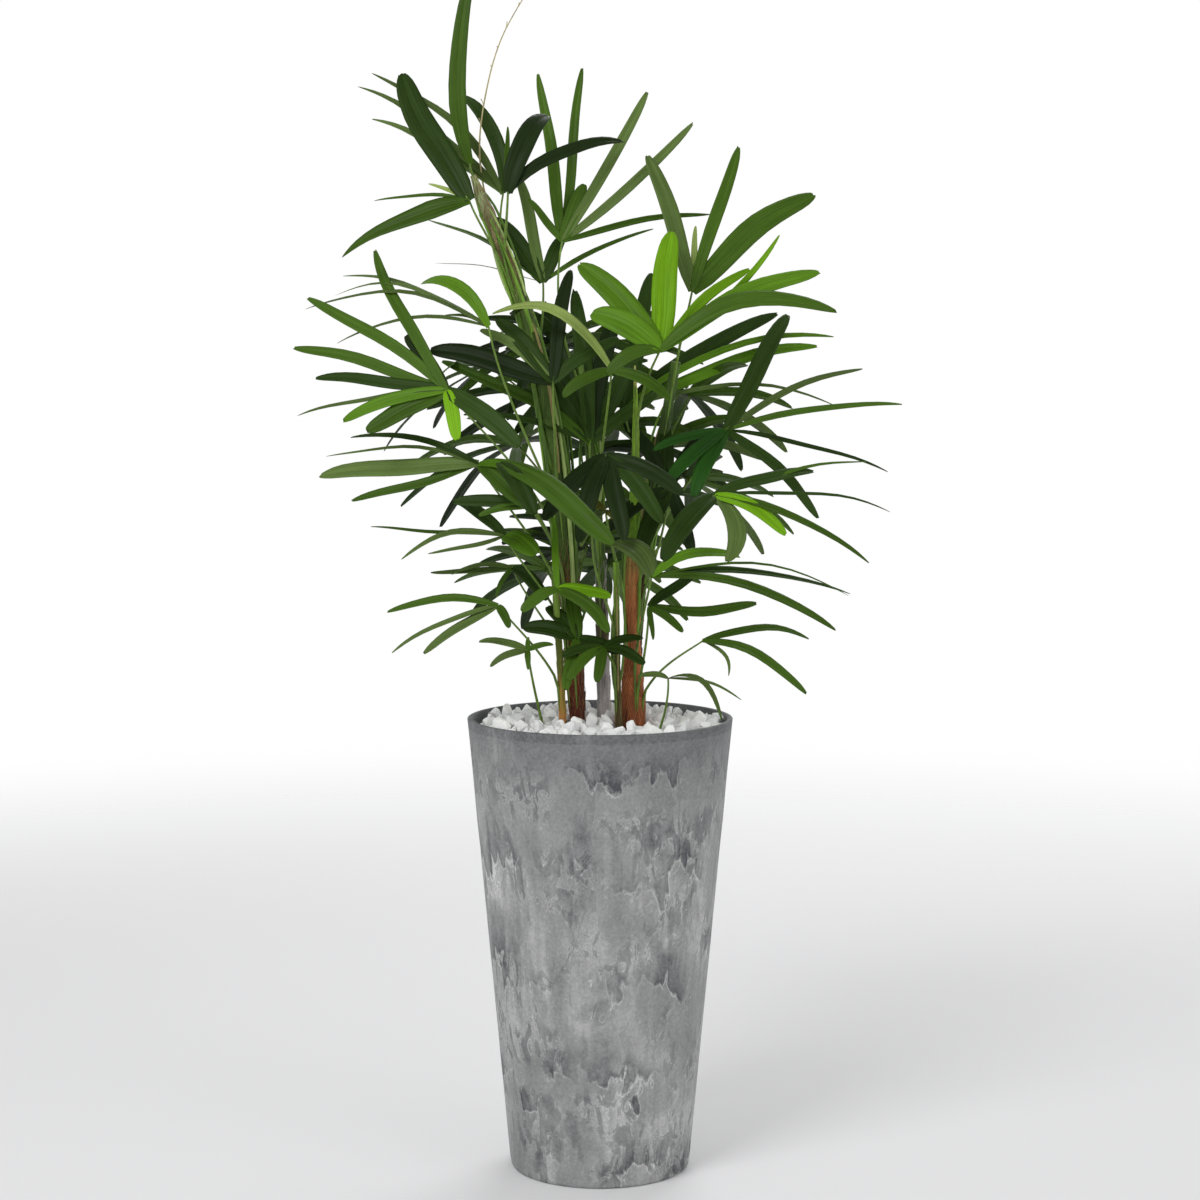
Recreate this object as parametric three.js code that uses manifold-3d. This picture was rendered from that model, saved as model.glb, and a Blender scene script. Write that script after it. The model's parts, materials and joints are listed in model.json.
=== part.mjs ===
// A lady palm in a tall tapered planter: a clump of fibrous canes that carry fan leaves on slim
// stalks, over a top dressing of white marble chippings.
// Millimetres, +Z up. The origin is the centre of the pot's flat underside; +X is the plant's right
// and -Y is its front.
import * as THREE from "three";
import { mergeVertices } from "three/addons/utils/BufferGeometryUtils.js";
import Module from "manifold-3d";

const wasm = await Module();
wasm.setup();
const { Manifold, Mesh: SolidMesh } = wasm;

// ---------------------------------------------------------------- driving sizes

const GAP = 0.3; // clearance wherever two pieces meet

const pot = {
  height: 490,
  rimRadius: 142.5,
  footRadius: 97,
  wall: 6,
  floor: 14,
  footEdge: 5, // chamfer round the underside
  rimEdge: 1.5,
  sides: 56,
};

const soilTop = 452;
const chippings = { depth: 33, stones: 38, size: 18, spread: 0.35 };

const caneSides = 10;
const stalk = {
  sides: 4,
  steps: 5,
  foot: 2.6,
  tip: 1.8,
  clear: 0.4, // from the bark to the stalk's foot
  climb: 0.34, // how far the stalk bows up, as a share of its length, and how far outwards
  spread: 0.2,
};
const leaflet = {
  rootWidth: 0.24, // width at the hub and at the tip, as a share of the widest
  tipWidth: 0.26,
  thickness: 0.012, // as a share of the length
  thinnest: 1.8,
  steps: 3,
  archedSteps: 4, // of a leaflet with more arch or bow than this
  arched: 0.09,
  narrow: 6, // up to this width a leaflet is pointed, and from the broad one on it is blunt
  broad: 12,
  pointed: 0.6, // how pointed the narrow ones are
};

// The dried flower stem beside the newest leaf: it leaves a cane and runs up through these points.
const flowerStem = {
  from: ["left", 968],
  line: [
    [-102, 26, 985],
    [-121, 30, 1040],
    [-128, 22, 1095],
    [-121, 16, 1152],
    [-104, 14, 1210],
    [-66, 14, 1276],
  ],
  radii: [2, 1.2],
};

// Canes: points on the middle line of each one, foot first, and its radius at each point.
const canes = {
  right: {
    line: [
      [35, -15, soilTop],
      [35, -15, 515],
      [35, -13, 568],
      [34, -10, 650],
      [37, -4, 738],
      [38, -8, 802],
      [37, -10, 866],
    ],
    radii: [15.5, 13, 8.2, 7.8, 5, 3.4, 1],
  },
  left: {
    line: [
      [-22, 0, soilTop],
      [-30, 0, 570],
      [-37, 2, 660],
      [-50, 4, 780],
      [-74, 6, 900],
      [-108, 6, 1000],
      [-121, 4, 1030],
      [-134, 2, 1066],
    ],
    radii: [7.5, 9, 10, 9, 9, 6.5, 8, 3],
  },
  middle: {
    line: [[5, 26, soilTop], [3, 28, 560], [-2, 30, 690], [-22, 28, 870]],
    radii: [8, 7, 5.5, 4],
  },
  back: {
    line: [[36, 50, soilTop], [40, 56, 600], [60, 54, 740], [82, 40, 870]],
    radii: [9, 8, 7, 5],
  },
  rear: {
    line: [[-23, 66, soilTop], [-30, 80, 620], [-40, 95, 760], [-44, 104, 870]],
    radii: [9, 8, 7, 5],
  },
  slim: {
    line: [[-38, -22, soilTop], [-43, -24, 560], [-49, -30, 650]],
    radii: [4, 3.6, 3],
  },
  young: {
    line: [[21, -38, soilTop], [18, -38, 560], [17, -42, 660]],
    radii: [3.6, 3.4, 3],
  },
};

// Leaves. from: the cane, and the height at which the stalk leaves it. hub: where the leaflets meet.
// faces: bearing and tilt of the upper side, in degrees. rays: each leaflet's angle in the plane of
// the leaf, 90 being the steepest way up and 180 the leaf's left. The other lists are dealt out
// evenly from the first leaflet to the last. reach: length. wide: width. arch: rise of the middle
// over the chord, as a share of the length. Leaflets that stand out have, by their number, a bow
// (a bend sideways, as a share of the length), a twist (how far the blade is rolled, in degrees)
// or a taper (0 blunt, 1 pointed).
const leaves = [
  {
    name: "spear",
    from: ["left", "tip"], hub: [-137, 0, 1078], faces: [265, 8], rays: [89], reach: [218],
    wide: [20], arch: [0.03], bow: { 0: 0.08 }, taper: { 0: 0.4 },
  },
  {
    name: "crown_left",
    from: ["left", 965], hub: [-136, -35, 1037], faces: [255, 28], rays: [122, 156, 179, 207],
    reach: [191, 54, 107, 147], wide: [30, 6, 5, 25], arch: [0.03, 0.05, 0.06, 0.08],
    bow: { 0: 0.04 }, taper: { 3: 0.9 },
  },
  {
    name: "crown_folded",
    from: ["left", 950], hub: [-103, 22, 1048], faces: [268, 20], rays: [112, 136, 142, 149],
    reach: [124, 204, 204, 170], wide: [16, 12, 12, 13], arch: [0.04, 0.1, 0.07, 0.07],
    bow: { 0: -0.11 }, twist: { 1: 18, 2: 18, 3: 18 }, taper: { 1: 0.7, 2: 0.7, 3: 0.7 },
  },
  {
    name: "crown_dark",
    from: ["left", 985], hub: [-96, -34, 1046], faces: [280, 30], rays: [63, 27, 86],
    reach: [110, 145, 84], wide: [23, 15, 7], arch: [0.17, 0.13, 0.02],
  },
  {
    name: "top_fan",
    from: ["middle", 850], hub: [-40, 10, 997], faces: [270, 18],
    rays: [127, 98, 84, 62, 44, 11, 70], reach: [61, 196, 202, 196, 196, 161, 70],
    wide: [9, 14, 11, 12, 11, 8, 16], arch: [0.02, 0, 0, 0.04, 0.04, 0.04, 0.03],
    bow: { 3: -0.04, 4: -0.06 }, twist: { 5: 40 }, taper: { 1: 0.3 },
  },
  {
    name: "top_low",
    from: ["left", 880], hub: [-61, 32, 955], faces: [272, 25], rays: [169, 149, 124, 102, 68, 28],
    reach: [119, 145, 94, 135, 60, 138], wide: [9, 9, 20, 13, 15, 6],
    arch: [0.03, 0.05, 0.05, 0.05, 0.05, 0.05], twist: { 0: 60, 1: 30, 5: 20 },
  },
  {
    name: "arching_left",
    from: ["left", 725], hub: [-115, -70, 906], faces: [245, 35],
    rays: [150, 161, 168, 174, 187, 165], reach: [113, 210, 203, 232, 178, 59],
    wide: [15, 7, 7, 7, 7, 5], arch: [0.2, 0.07, 0.12, 0.11, 0.1, 0.08],
    twist: { 1: 20, 2: 20, 3: 20, 4: 20 },
  },
  {
    name: "pale_arch",
    from: ["middle", 720], hub: [12, -78, 861], faces: [270, 30], rays: [152, 212, 330],
    reach: [143, 60, 70], wide: [12, 14, 14], arch: [0.23, 0.1, 0.1],
  },
  {
    name: "left_fan",
    from: ["left", 690], hub: [-157, -95, 841], faces: [250, 30],
    rays: [125, 149, 165, 175, 191, 199, 211, 292, 325, 133],
    reach: [211, 219, 196, 155, 167, 117, 95, 64, 115, 90],
    wide: [13, 13, 13, 14, 6, 15, 23, 15, 21, 16],
    arch: [0.04, 0.04, 0.02, 0.03, 0.05, 0.06, 0.0, 0.05, 0.04, 0.02], bow: { 0: 0.05 },
  },
  {
    name: "dark_left",
    from: ["left", 745], hub: [-49, -62, 849], faces: [265, 30], rays: [164, 142, 130, 85, 38],
    reach: [139, 103, 100, 138, 86], wide: [24, 12, 18, 16, 16],
    arch: [0.04, 0.07, 0.06, 0.06, 0.05],
  },
  {
    name: "centre",
    from: ["middle", 680], hub: [-11, -8, 784], faces: [270, 30],
    rays: [166, 148, 124, 106, 95, 80, 64, 40, 66],
    reach: [141, 190, 150, 182, 192, 185, 148, 95, 54], wide: [9, 14, 17, 19, 19, 19, 18, 16, 10],
    arch: [0.08, 0.06, 0.05, 0.04, 0.03, 0.03, 0.03, 0.03, 0.04], bow: { 8: 0.13 },
  },
  {
    name: "bright_star",
    from: ["right", 800], hub: [61, -128, 882], faces: [268, 32],
    rays: [209, 148, 129, 86, 47, 30, 14, 49], reach: [62, 84, 135, 146, 135, 189, 186, 188],
    wide: [16, 29, 27, 26, 12, 20, 20, 9], arch: [0.14, 0.08, 0.04, 0.02, 0.05, 0.06, 0.16, -0.08],
  },
  {
    name: "right_top",
    from: ["back", 850], hub: [96, -45, 943], faces: [280, 26], rays: [102, 82, 69, 39],
    reach: [167, 79, 187, 187], wide: [19, 8, 14, 26], arch: [0.04, 0.03, 0.05, 0.05],
    bow: { 2: -0.02 },
  },
  {
    name: "right_fork",
    from: ["back", 745], hub: [27, 44, 820], faces: [280, 30], rays: [75, 33, 19, 20, 360],
    reach: [179, 220, 239, 262, 239], wide: [18, 18, 14, 9, 6],
    arch: [0.04, 0.05, 0.06, 0.11, 0.11],
  },
  {
    name: "right_dark",
    from: ["back", 680], hub: [134, 4, 797], faces: [290, 32],
    rays: [54, 23, 8, 343, 307, 236, 218, 195], reach: [184, 198, 222, 189, 138, 98, 104, 92],
    wide: [20, 8, 8, 6, 15, 18, 16, 11], arch: [0.04, 0.06, 0.05, 0.05, 0.06, 0.07, 0.07, 0.06],
    bow: { 0: -0.01 }, twist: { 1: 10, 2: 10, 3: 10, 5: 22, 6: 12 },
  },
  {
    name: "right_low",
    from: ["right", 640], hub: [119, -72, 732], faces: [290, 38],
    rays: [13, 12, 352, 329, 322, 265, 226], reach: [125, 193, 199, 178, 86, 85, 113],
    wide: [14, 5, 5, 11, 18, 21, 22], arch: [0.06, 0.03, 0.07, 0.08, 0.09, 0.04, 0.08],
    bow: { 5: 0.2 }, taper: { 3: 0.4 },
  },
  {
    name: "inner_right",
    from: ["back", 615], hub: [74, 8, 735], faces: [272, 35], rays: [118, 92, 62, 218, 248, 285],
    reach: [98, 90, 80, 85, 95, 85], wide: [17, 15, 15, 18, 20, 16], arch: [0.05],
  },
  {
    name: "inner_dark",
    from: ["young", 600], hub: [6, -45, 772], faces: [270, 38], rays: [232, 256, 280, 304, 328],
    reach: [105, 115, 110, 105, 95], wide: [20], arch: [0.06],
  },
  {
    name: "left_broad",
    from: ["left", 625], hub: [-125, -88, 765], faces: [250, 35],
    rays: [169, 178, 186, 200, 324, 345], reach: [159, 178, 179, 142, 92, 100],
    wide: [8, 5, 20, 11, 18, 13], arch: [0.09, 0.07, 0.03, 0.0, 0.0, 0.09],
  },
  {
    name: "front_blade",
    from: ["left", 650], hub: [-102, -128, 768], faces: [265, 45], rays: [318, 300],
    reach: [166, 84], wide: [26, 20], arch: [0.05, 0.08],
  },
  {
    name: "mid_left",
    from: ["left", 590], hub: [-100, -50, 688], faces: [250, 45], rays: [146, 177, 199, 199, 330],
    reach: [89, 160, 85, 114, 50], wide: [14, 6, 7, 9, 24], arch: [0.08, 0.01, -0.03, 0.13, 0.08],
  },
  {
    name: "mid_droop",
    from: ["left", 560], hub: [-94, 10, 650], faces: [250, 40], rays: [186, 190, 258, 321],
    reach: [95, 70, 41, 66], wide: [8, 7, 7, 15], arch: [-0.01, 0.1, 0.1, 0.08],
  },
  {
    name: "low_left",
    from: ["slim", 530], hub: [-106, -72, 617], faces: [250, 45], rays: [187, 215, 227, 305],
    reach: [125, 123, 95, 37], wide: [11, 8, 13, 10], arch: [0.08, 0.07, 0.03, 0.05],
  },
  {
    name: "low_block",
    from: ["left", 545], hub: [-24, -46, 580], faces: [268, 45], rays: [166, 128, 98, 262, 335],
    reach: [60, 55, 62, 72, 50], wide: [20, 17, 16, 13, 15], arch: [0.05],
  },
  {
    name: "bright_low",
    from: ["slim", "tip"], hub: [-44, -94, 636], faces: [272, 42], rays: [349, 312, 218, 92],
    reach: [57, 78, 48, 96], wide: [16, 16, 14, 8], arch: [0.06, 0.11, 0.09, 0.08],
  },
  {
    name: "low_centre",
    from: ["young", 545], hub: [4, -62, 572], faces: [270, 50], rays: [198, 232, 262, 330, 18],
    reach: [46, 62, 52, 50, 44], wide: [13, 14, 12, 14, 12], arch: [0.08],
  },
  {
    name: "curled",
    from: ["young", "tip"], hub: [6, -66, 716], faces: [270, 50], rays: [176, 245, 300],
    reach: [30, 62, 44], wide: [13, 10, 9], arch: [0.2, 0.06],
  },
  {
    name: "front_right",
    from: ["right", 550], hub: [53, -108, 650], faces: [288, 48], rays: [122, 13, 351, 350, 335],
    reach: [58, 108, 216, 214, 199], wide: [29, 13, 11, 4, 13], arch: [0.22, 0.14, 0.07, 0.11, 0.1],
    taper: { 2: 0.8 },
  },
  {
    name: "low_pair",
    from: ["right", 520], hub: [51, -58, 614], faces: [290, 42], rays: [32, 0, 311, 262],
    reach: [80, 125, 46, 44], wide: [12, 13, 11, 7], arch: [0.04, -0.04, 0.05, 0.06],
  },
  {
    name: "low_right",
    from: ["right", 515], hub: [107, -75, 580], faces: [290, 45], rays: [358, 321, 287],
    reach: [122, 123, 51], wide: [10, 13, 6], arch: [0.11, 0.11, 0.04], bow: { 2: 0.2 },
  },
  {
    name: "seedling_right",
    from: ["soil", [48, -64]], hub: [71, -78, 541], faces: [272, 55], rays: [175, 335, 308],
    reach: [32, 83, 85], wide: [9, 5, 8], arch: [0.12, 0.09, 0.27],
  },
  {
    name: "seedling_left",
    from: ["soil", [-56, 8]], hub: [-76, -55, 568], faces: [265, 35], rays: [170, 208, 275, 14, 92],
    reach: [54, 44, 24, 28, 16], wide: [9, 9, 7, 8, 6], arch: [0.1],
  },
  {
    name: "left_stub",
    from: ["left", 640], hub: [-72, -100, 722], faces: [262, 35], rays: [177, 193], reach: [82, 55],
    wide: [15, 10], arch: [0.04, 0.06],
  },
];

// The leaves round the back and the sides of the clump, dealt out in arcs round a cane.
// span: first and last bearing. rise: lowest and highest hub. out: from the cane to the hubs.
const arcs = [
  {
    cane: "rear", name: "rear_low", count: 4, seed: 35,
    span: [60, 115], rise: [630, 680], out: 105, reach: 130,
  },
  {
    cane: "rear", name: "rear_high", count: 5, seed: 23,
    span: [30, 180], rise: [770, 910], out: 85, reach: 165,
  },
  {
    cane: "back", name: "back_high", count: 4, seed: 36,
    span: [30, 110], rise: [710, 860], out: 68, reach: 145,
  },
  {
    cane: "middle", name: "inner_high", count: 2, seed: 34,
    span: [80, 140], rise: [840, 900], out: 50, reach: 140,
  },
];
const arcLeaf = {
  leaflets: 7,
  spread: 235, // degrees from the first leaflet to the last
  tilt: 48,
  wide: 16,
  arch: 0.09,
  outer: 0.75, // reach of the first and the last leaflet, as a share of the middle one's
  stalkDrop: 70, // from the hub down to where the stalk leaves the cane
  tipRoom: 12, // from there to the cane's tip, at least
  heightStep: 0.62, // the hubs' heights go round in steps of this share of their rise
  heightStart: 0.2,
  uneven: { ray: 8, tilt: 12, out: 0.3 }, // how much these vary
};

// Tried in turn until a piece stands clear: how far a stalk bows sideways, as a share of its
// length, and how far a leaflet is raised out of the plane of its leaf, in degrees.
const swerves = [0, 0.07, -0.07, 0.14, -0.14, 0.21, -0.21, 0.28, -0.28, 0.35, -0.35, 0.42, -0.42];
const lifts = [0, 4, -4, 8, -8, 12, -12, 16, -16, 20, -20, 24, -24];

const colours = {
  planter: { color: 0x8b8d8f, roughness: 0.62 },
  soil: { color: 0x2e2018, roughness: 1 },
  marble: { color: 0xe4e4e2, roughness: 0.8 },
  cane: { color: 0x7a4b2c, roughness: 0.95 },
  flower: { color: 0xb7ae8d, roughness: 0.9 },
  leaf: { color: 0x2f5a17, roughness: 0.5 },
};

// ---------------------------------------------------------------- shared helpers

const UP = new THREE.Vector3(0, 0, 1);
const radians = THREE.MathUtils.degToRad;
const point = (p) => new THREE.Vector3(...p);

// A seeded generator of numbers from 0 to 1, the same ones every time.
function dice(seed) {
  let s = seed;
  return () => {
    s = (s * 1664525 + 1013904223) >>> 0;
    return s / 4294967296;
  };
}

// The value a share of the way along a list of evenly spaced ones.
function dealt(list, share) {
  const at = share * (list.length - 1);
  const low = Math.min(Math.floor(at), list.length - 1);
  const high = Math.min(low + 1, list.length - 1);
  return THREE.MathUtils.lerp(list[low], list[high], at - low);
}

function solidOf(geometry) {
  const bare = geometry.clone();
  bare.deleteAttribute("normal");
  bare.deleteAttribute("uv");
  const merged = mergeVertices(bare, 1e-4);
  return new Manifold(
    new SolidMesh({
      numProp: 3,
      vertProperties: merged.attributes.position.array,
      triVerts: new Uint32Array(merged.index.array),
    }),
  );
}

function geometryOf(solid) {
  const mesh = solid.getMesh();
  const geometry = new THREE.BufferGeometry();
  geometry.setAttribute("position", new THREE.BufferAttribute(mesh.vertProperties, 3));
  geometry.setIndex(new THREE.BufferAttribute(mesh.triVerts, 1));
  geometry.computeVertexNormals();
  return geometry;
}

function meshOf(name, solid, finish) {
  const material = new THREE.MeshStandardMaterial({ ...finish, metalness: 0 });
  const mesh = new THREE.Mesh(geometryOf(solid), material);
  mesh.name = name;
  return mesh;
}

// A solid turned about +Z from a profile of [radius, height] pairs that starts and ends on the axis.
function turned(profile, sides) {
  const lathe = new THREE.LatheGeometry(profile.map(([r, z]) => new THREE.Vector2(r, z)), sides);
  return solidOf(lathe.rotateX(Math.PI / 2));
}

// Regular polygon of radius 1, the section of a cane or a stalk.
function roundSection(sides) {
  const corners = Array.from({ length: sides }, (_, i) => {
    const a = (2 * Math.PI * i) / sides;
    return new THREE.Vector2(Math.cos(a), Math.sin(a));
  });
  return new THREE.Shape(corners);
}

// Flat above with a keel below: the section of a leaflet.
const keeledSection = new THREE.Shape([
  new THREE.Vector2(-1, 0.5),
  new THREE.Vector2(0, -0.5),
  new THREE.Vector2(1, 0.5),
]);

// Extrudes a section and bends it along a curve. sideways fixes which way the section's x axis
// points, size(t) gives its half width and half thickness, and foot is the way the first ring faces.
function bent(section, steps, curve, sideways, size, foot = curve.getTangent(0)) {
  const geometry = new THREE.ExtrudeGeometry(section, { depth: 1, steps, bevelEnabled: false });
  const place = geometry.attributes.position;
  const v = new THREE.Vector3();
  for (let i = 0; i < place.count; i++) {
    v.fromBufferAttribute(place, i);
    const t = Math.min(1, Math.max(0, v.z));
    const along = t === 0 ? foot : curve.getTangent(t);
    const side = sideways.clone().addScaledVector(along, -along.dot(sideways)).normalize();
    const above = new THREE.Vector3().crossVectors(along, side);
    const [halfWidth, halfThickness] = size(t);
    const at = curve.getPoint(t);
    at.addScaledVector(side, v.x * halfWidth);
    at.addScaledVector(above, v.y * halfThickness);
    place.setXYZ(i, at.x, at.y, at.z);
  }
  return solidOf(geometry);
}

// ---------------------------------------------------------------- planter, soil and chippings

const insideRadius = (z) =>
  THREE.MathUtils.lerp(pot.footRadius, pot.rimRadius, z / pot.height) - pot.wall;

function planterSolid() {
  const { height, rimRadius, footRadius, wall, floor, footEdge, rimEdge } = pot;
  return turned(
    [
      [0, 0],
      [footRadius - footEdge, 0],
      [footRadius + 0.5, footEdge],
      [rimRadius, height - rimEdge],
      [rimRadius - rimEdge, height],
      [rimRadius - wall + rimEdge, height],
      [rimRadius - wall, height - rimEdge],
      [insideRadius(floor), floor],
      [0, floor],
    ],
    pot.sides,
  );
}

// What fills the pot between two heights, clear of its wall.
function filling(low, high) {
  return turned(
    [
      [0, low],
      [insideRadius(low) - GAP, low],
      [insideRadius(high) - GAP, high],
      [0, high],
    ],
    pot.sides,
  );
}

// A bed of stones over the soil, with a hole for each stem that comes up through it.
function chippingsSolid(stems) {
  const roll = dice(7);
  const bed = soilTop + GAP;
  const level = bed + chippings.depth;
  const stones = Array.from({ length: chippings.stones }, (_, i) => {
    const away = Math.sqrt((i + 0.5) / chippings.stones) * (insideRadius(level) - chippings.size);
    const bearing = i * Math.PI * (3 - Math.sqrt(5));
    const size = chippings.size * (1 + chippings.spread * (roll() - 0.5));
    const stone = new THREE.BoxGeometry(size, size * 0.85, size * 0.7);
    stone.rotateX(roll() * Math.PI);
    stone.rotateY(roll() * Math.PI);
    stone.rotateZ(roll() * Math.PI);
    stone.translate(away * Math.cos(bearing), away * Math.sin(bearing), level - size * 0.4);
    return solidOf(stone);
  });
  const heaped = stones.reduce((all, stone) => all.add(stone), filling(bed, level - chippings.size / 2));
  const open = stems.reduce((all, stem) => all.subtract(stem), heaped);
  return open.intersect(filling(bed, pot.height));
}

// ---------------------------------------------------------------- canes

const caneLines = Object.fromEntries(
  Object.entries(canes).map(([name, cane]) => [name, new THREE.CatmullRomCurve3(cane.line.map(point))]),
);

function caneSolid(name, spare = 0) {
  const cane = canes[name];
  const line = caneLines[name];
  const steps = 2 * (cane.line.length - 1);
  const size = (t) => Array(2).fill(dealt(cane.radii, t) + spare);
  const across = new THREE.Vector3(1, 0, 0);
  return bent(roundSection(caneSides), steps, line, across, size, UP);
}

// A cane's middle line at a height: the point, the way it runs, and the cane's radius.
function caneAt(name, height) {
  const line = caneLines[name];
  let [low, high] = [0, 1];
  for (let i = 0; i < 30; i++) {
    const t = (low + high) / 2;
    if (line.getPoint(t).z < height) low = t;
    else high = t;
  }
  const radius = dealt(canes[name].radii, low);
  return { middle: line.getPoint(low), along: line.getTangent(low), radius };
}

// ---------------------------------------------------------------- leaves

// The three directions of a leaf's plane: across it, up it and out of its upper side.
function leafPlane([bearing, tilt]) {
  const b = radians(bearing);
  const t = radians(tilt);
  const out = new THREE.Vector3(Math.cos(t) * Math.cos(b), Math.cos(t) * Math.sin(b), Math.sin(t));
  const across = new THREE.Vector3(-Math.sin(b), Math.cos(b), 0);
  return { out, across, rise: new THREE.Vector3().crossVectors(out, across) };
}

// Where a stalk starts and which way it sets off. From the side of a cane it leaves square to the
// bark, from a cane's tip it carries on, and from the soil it comes up straight.
function stalkRoot([source, where], hub) {
  if (source === "soil") return { foot: new THREE.Vector3(...where, soilTop + GAP), start: UP };
  if (where === "tip") {
    const start = caneLines[source].getTangent(1);
    return { foot: caneLines[source].getPoint(1).addScaledVector(start, GAP), start };
  }
  const { middle, along, radius } = caneAt(source, where);
  const start = hub.clone().sub(middle).setZ(0);
  start.addScaledVector(along, -start.dot(along)).normalize();
  return { foot: middle.clone().addScaledVector(start, radius + stalk.clear), start };
}

function stalkSolid(leaf, swerve, spare = 0) {
  const hub = point(leaf.hub);
  const { foot, start } = stalkRoot(leaf.from, hub);
  const out = hub.clone().sub(foot).setZ(0).normalize();
  const length = foot.distanceTo(hub);
  const sideways = new THREE.Vector3().crossVectors(UP, out);
  const bow = out.clone().multiplyScalar(stalk.spread);
  bow.addScaledVector(UP, stalk.climb).addScaledVector(sideways, swerve);
  const leaving = foot.clone().addScaledVector(bow, length);
  const arriving = hub.clone().lerp(leaving, 0.45).addScaledVector(out, length * 0.06);
  const line = new THREE.CubicBezierCurve3(foot, leaving, arriving, hub);
  const size = (t) => Array(2).fill(THREE.MathUtils.lerp(stalk.foot, stalk.tip, t) + spare);
  return bent(roundSection(stalk.sides), stalk.steps, line, sideways, size, start);
}

function flowerStemSolid() {
  const { foot, start } = stalkRoot(flowerStem.from, point(flowerStem.line[0]));
  const line = new THREE.CatmullRomCurve3([foot, ...flowerStem.line.map(point)]);
  const size = (t) => Array(2).fill(dealt(flowerStem.radii, t));
  const across = new THREE.Vector3(1, 0, 0);
  const steps = flowerStem.line.length + 2;
  return bent(roundSection(stalk.sides), steps, line, across, size, start);
}

// Width of a leaflet along its length, as a share of its widest: an even blunt blade at a taper of
// 0, and at 1 one that is widest near its root and runs to a point.
function leafletWidth(t, taper) {
  const { lerp } = THREE.MathUtils;
  if (t === 0) return leaflet.rootWidth;
  if (t === 1) return leaflet.tipWidth * lerp(1, 0.4, taper);
  const blunt = Math.pow(Math.sin(Math.PI * (0.14 + t * 0.78)), 0.6);
  const pointed = 1.24 * Math.min(1, (t + 0.15) / 0.4) * Math.pow(1 - 0.95 * t, 0.8);
  return lerp(blunt, pointed, taper);
}

function taperOf(leaf, index, width) {
  const share = (leaflet.broad - width) / (leaflet.broad - leaflet.narrow);
  return leaf.taper?.[index] ?? leaflet.pointed * THREE.MathUtils.clamp(share, 0, 1);
}

function leafletSolid(leaf, index, liftDegrees) {
  const lift = radians(liftDegrees);
  const { out, across, rise } = leafPlane(leaf.faces);
  const share = index / Math.max(1, leaf.rays.length - 1);
  const length = dealt(leaf.reach, share);
  const width = dealt(leaf.wide, share);
  const angle = radians(leaf.rays[index]);
  const flat = across.clone().multiplyScalar(Math.cos(angle)).addScaledVector(rise, Math.sin(angle));
  const chord = flat.clone().multiplyScalar(Math.cos(lift)).addScaledVector(out, Math.sin(lift));
  const hub = point(leaf.hub);
  const tip = hub.clone().addScaledVector(chord, length);
  const sideways = new THREE.Vector3().crossVectors(out, chord).normalize();
  const upwards = UP.clone().addScaledVector(out, 0.3);
  upwards.addScaledVector(chord, -upwards.dot(chord)).normalize();
  const arch = dealt(leaf.arch, share);
  const bow = leaf.bow?.[index] ?? 0;
  const middle = hub.clone().lerp(tip, 0.5);
  middle.addScaledVector(upwards, 2 * arch * length).addScaledVector(sideways, 2 * bow * length);
  const line = new THREE.QuadraticBezierCurve3(hub, middle, tip);
  const thickness = Math.max(leaflet.thinnest, length * leaflet.thickness);
  const taper = taperOf(leaf, index, width);
  const size = (t) => [
    (leafletWidth(t, taper) * width) / 2,
    thickness * THREE.MathUtils.lerp(1, 0.75, t),
  ];
  sideways.applyAxisAngle(chord, radians(leaf.twist?.[index] ?? 0));
  const isArched = Math.max(Math.abs(arch), Math.abs(bow)) > leaflet.arched;
  const steps = isArched ? leaflet.archedSteps : leaflet.steps;
  return bent(keeledSection, steps, line, sideways, size);
}

function arcLeaves(arc) {
  const roll = dice(arc.seed);
  const { lerp } = THREE.MathUtils;
  const { leaflets, spread, outer, uneven } = arcLeaf;
  const varied = (amount) => amount * (roll() - 0.5);
  return Array.from({ length: arc.count }, (_, i) => {
    const bearing = lerp(...arc.span, (i + 0.5) / arc.count);
    const height = lerp(...arc.rise, (i * arcLeaf.heightStep + arcLeaf.heightStart) % 1);
    const top = caneLines[arc.cane].getPoint(1).z;
    const cane = caneAt(arc.cane, Math.min(height - arcLeaf.stalkDrop, top - arcLeaf.tipRoom)).middle;
    const out = arc.out * (1 + varied(uneven.out));
    const b = radians(bearing);
    const rays = Array.from({ length: leaflets }, (_, k) => {
      const even = 270 + spread * (k / (leaflets - 1) - 0.5);
      return even + varied(uneven.ray);
    });
    return {
      name: `${arc.name}_${i + 1}`,
      from: [arc.cane, cane.z],
      hub: [cane.x + out * Math.cos(b), cane.y + out * Math.sin(b), height],
      faces: [bearing, arcLeaf.tilt + varied(uneven.tilt)],
      rays,
      reach: [arc.reach * outer, arc.reach, arc.reach * outer],
      wide: [arcLeaf.wide],
      arch: [arcLeaf.arch],
    };
  });
}

// ---------------------------------------------------------------- assembly

const allLeaves = [...leaves, ...arcs.flatMap(arcLeaves)];

// Every solid stood so far, each with its box so that the far ones are passed over quickly.
const placed = [];
const boxOf = (solid) => {
  const { min, max } = solid.boundingBox();
  return new THREE.Box3(point(min), point(max));
};
function stand(solid, owner) {
  placed.push({ solid, owner, box: boxOf(solid) });
}
function touches(solid, owner) {
  const box = boxOf(solid).expandByScalar(GAP);
  const near = placed.filter((other) => other.owner !== owner && other.box.intersectsBox(box));
  return near.some((other) => other.solid.minGap(solid, GAP) < GAP / 2);
}

// The first of several tries that stands clear of every other piece.
function firstClear(tries, make, owner) {
  for (const attempt of tries) {
    const solid = make(attempt);
    if (!touches(solid, owner)) {
      stand(solid, owner);
      return solid;
    }
  }
  return null;
}

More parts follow.
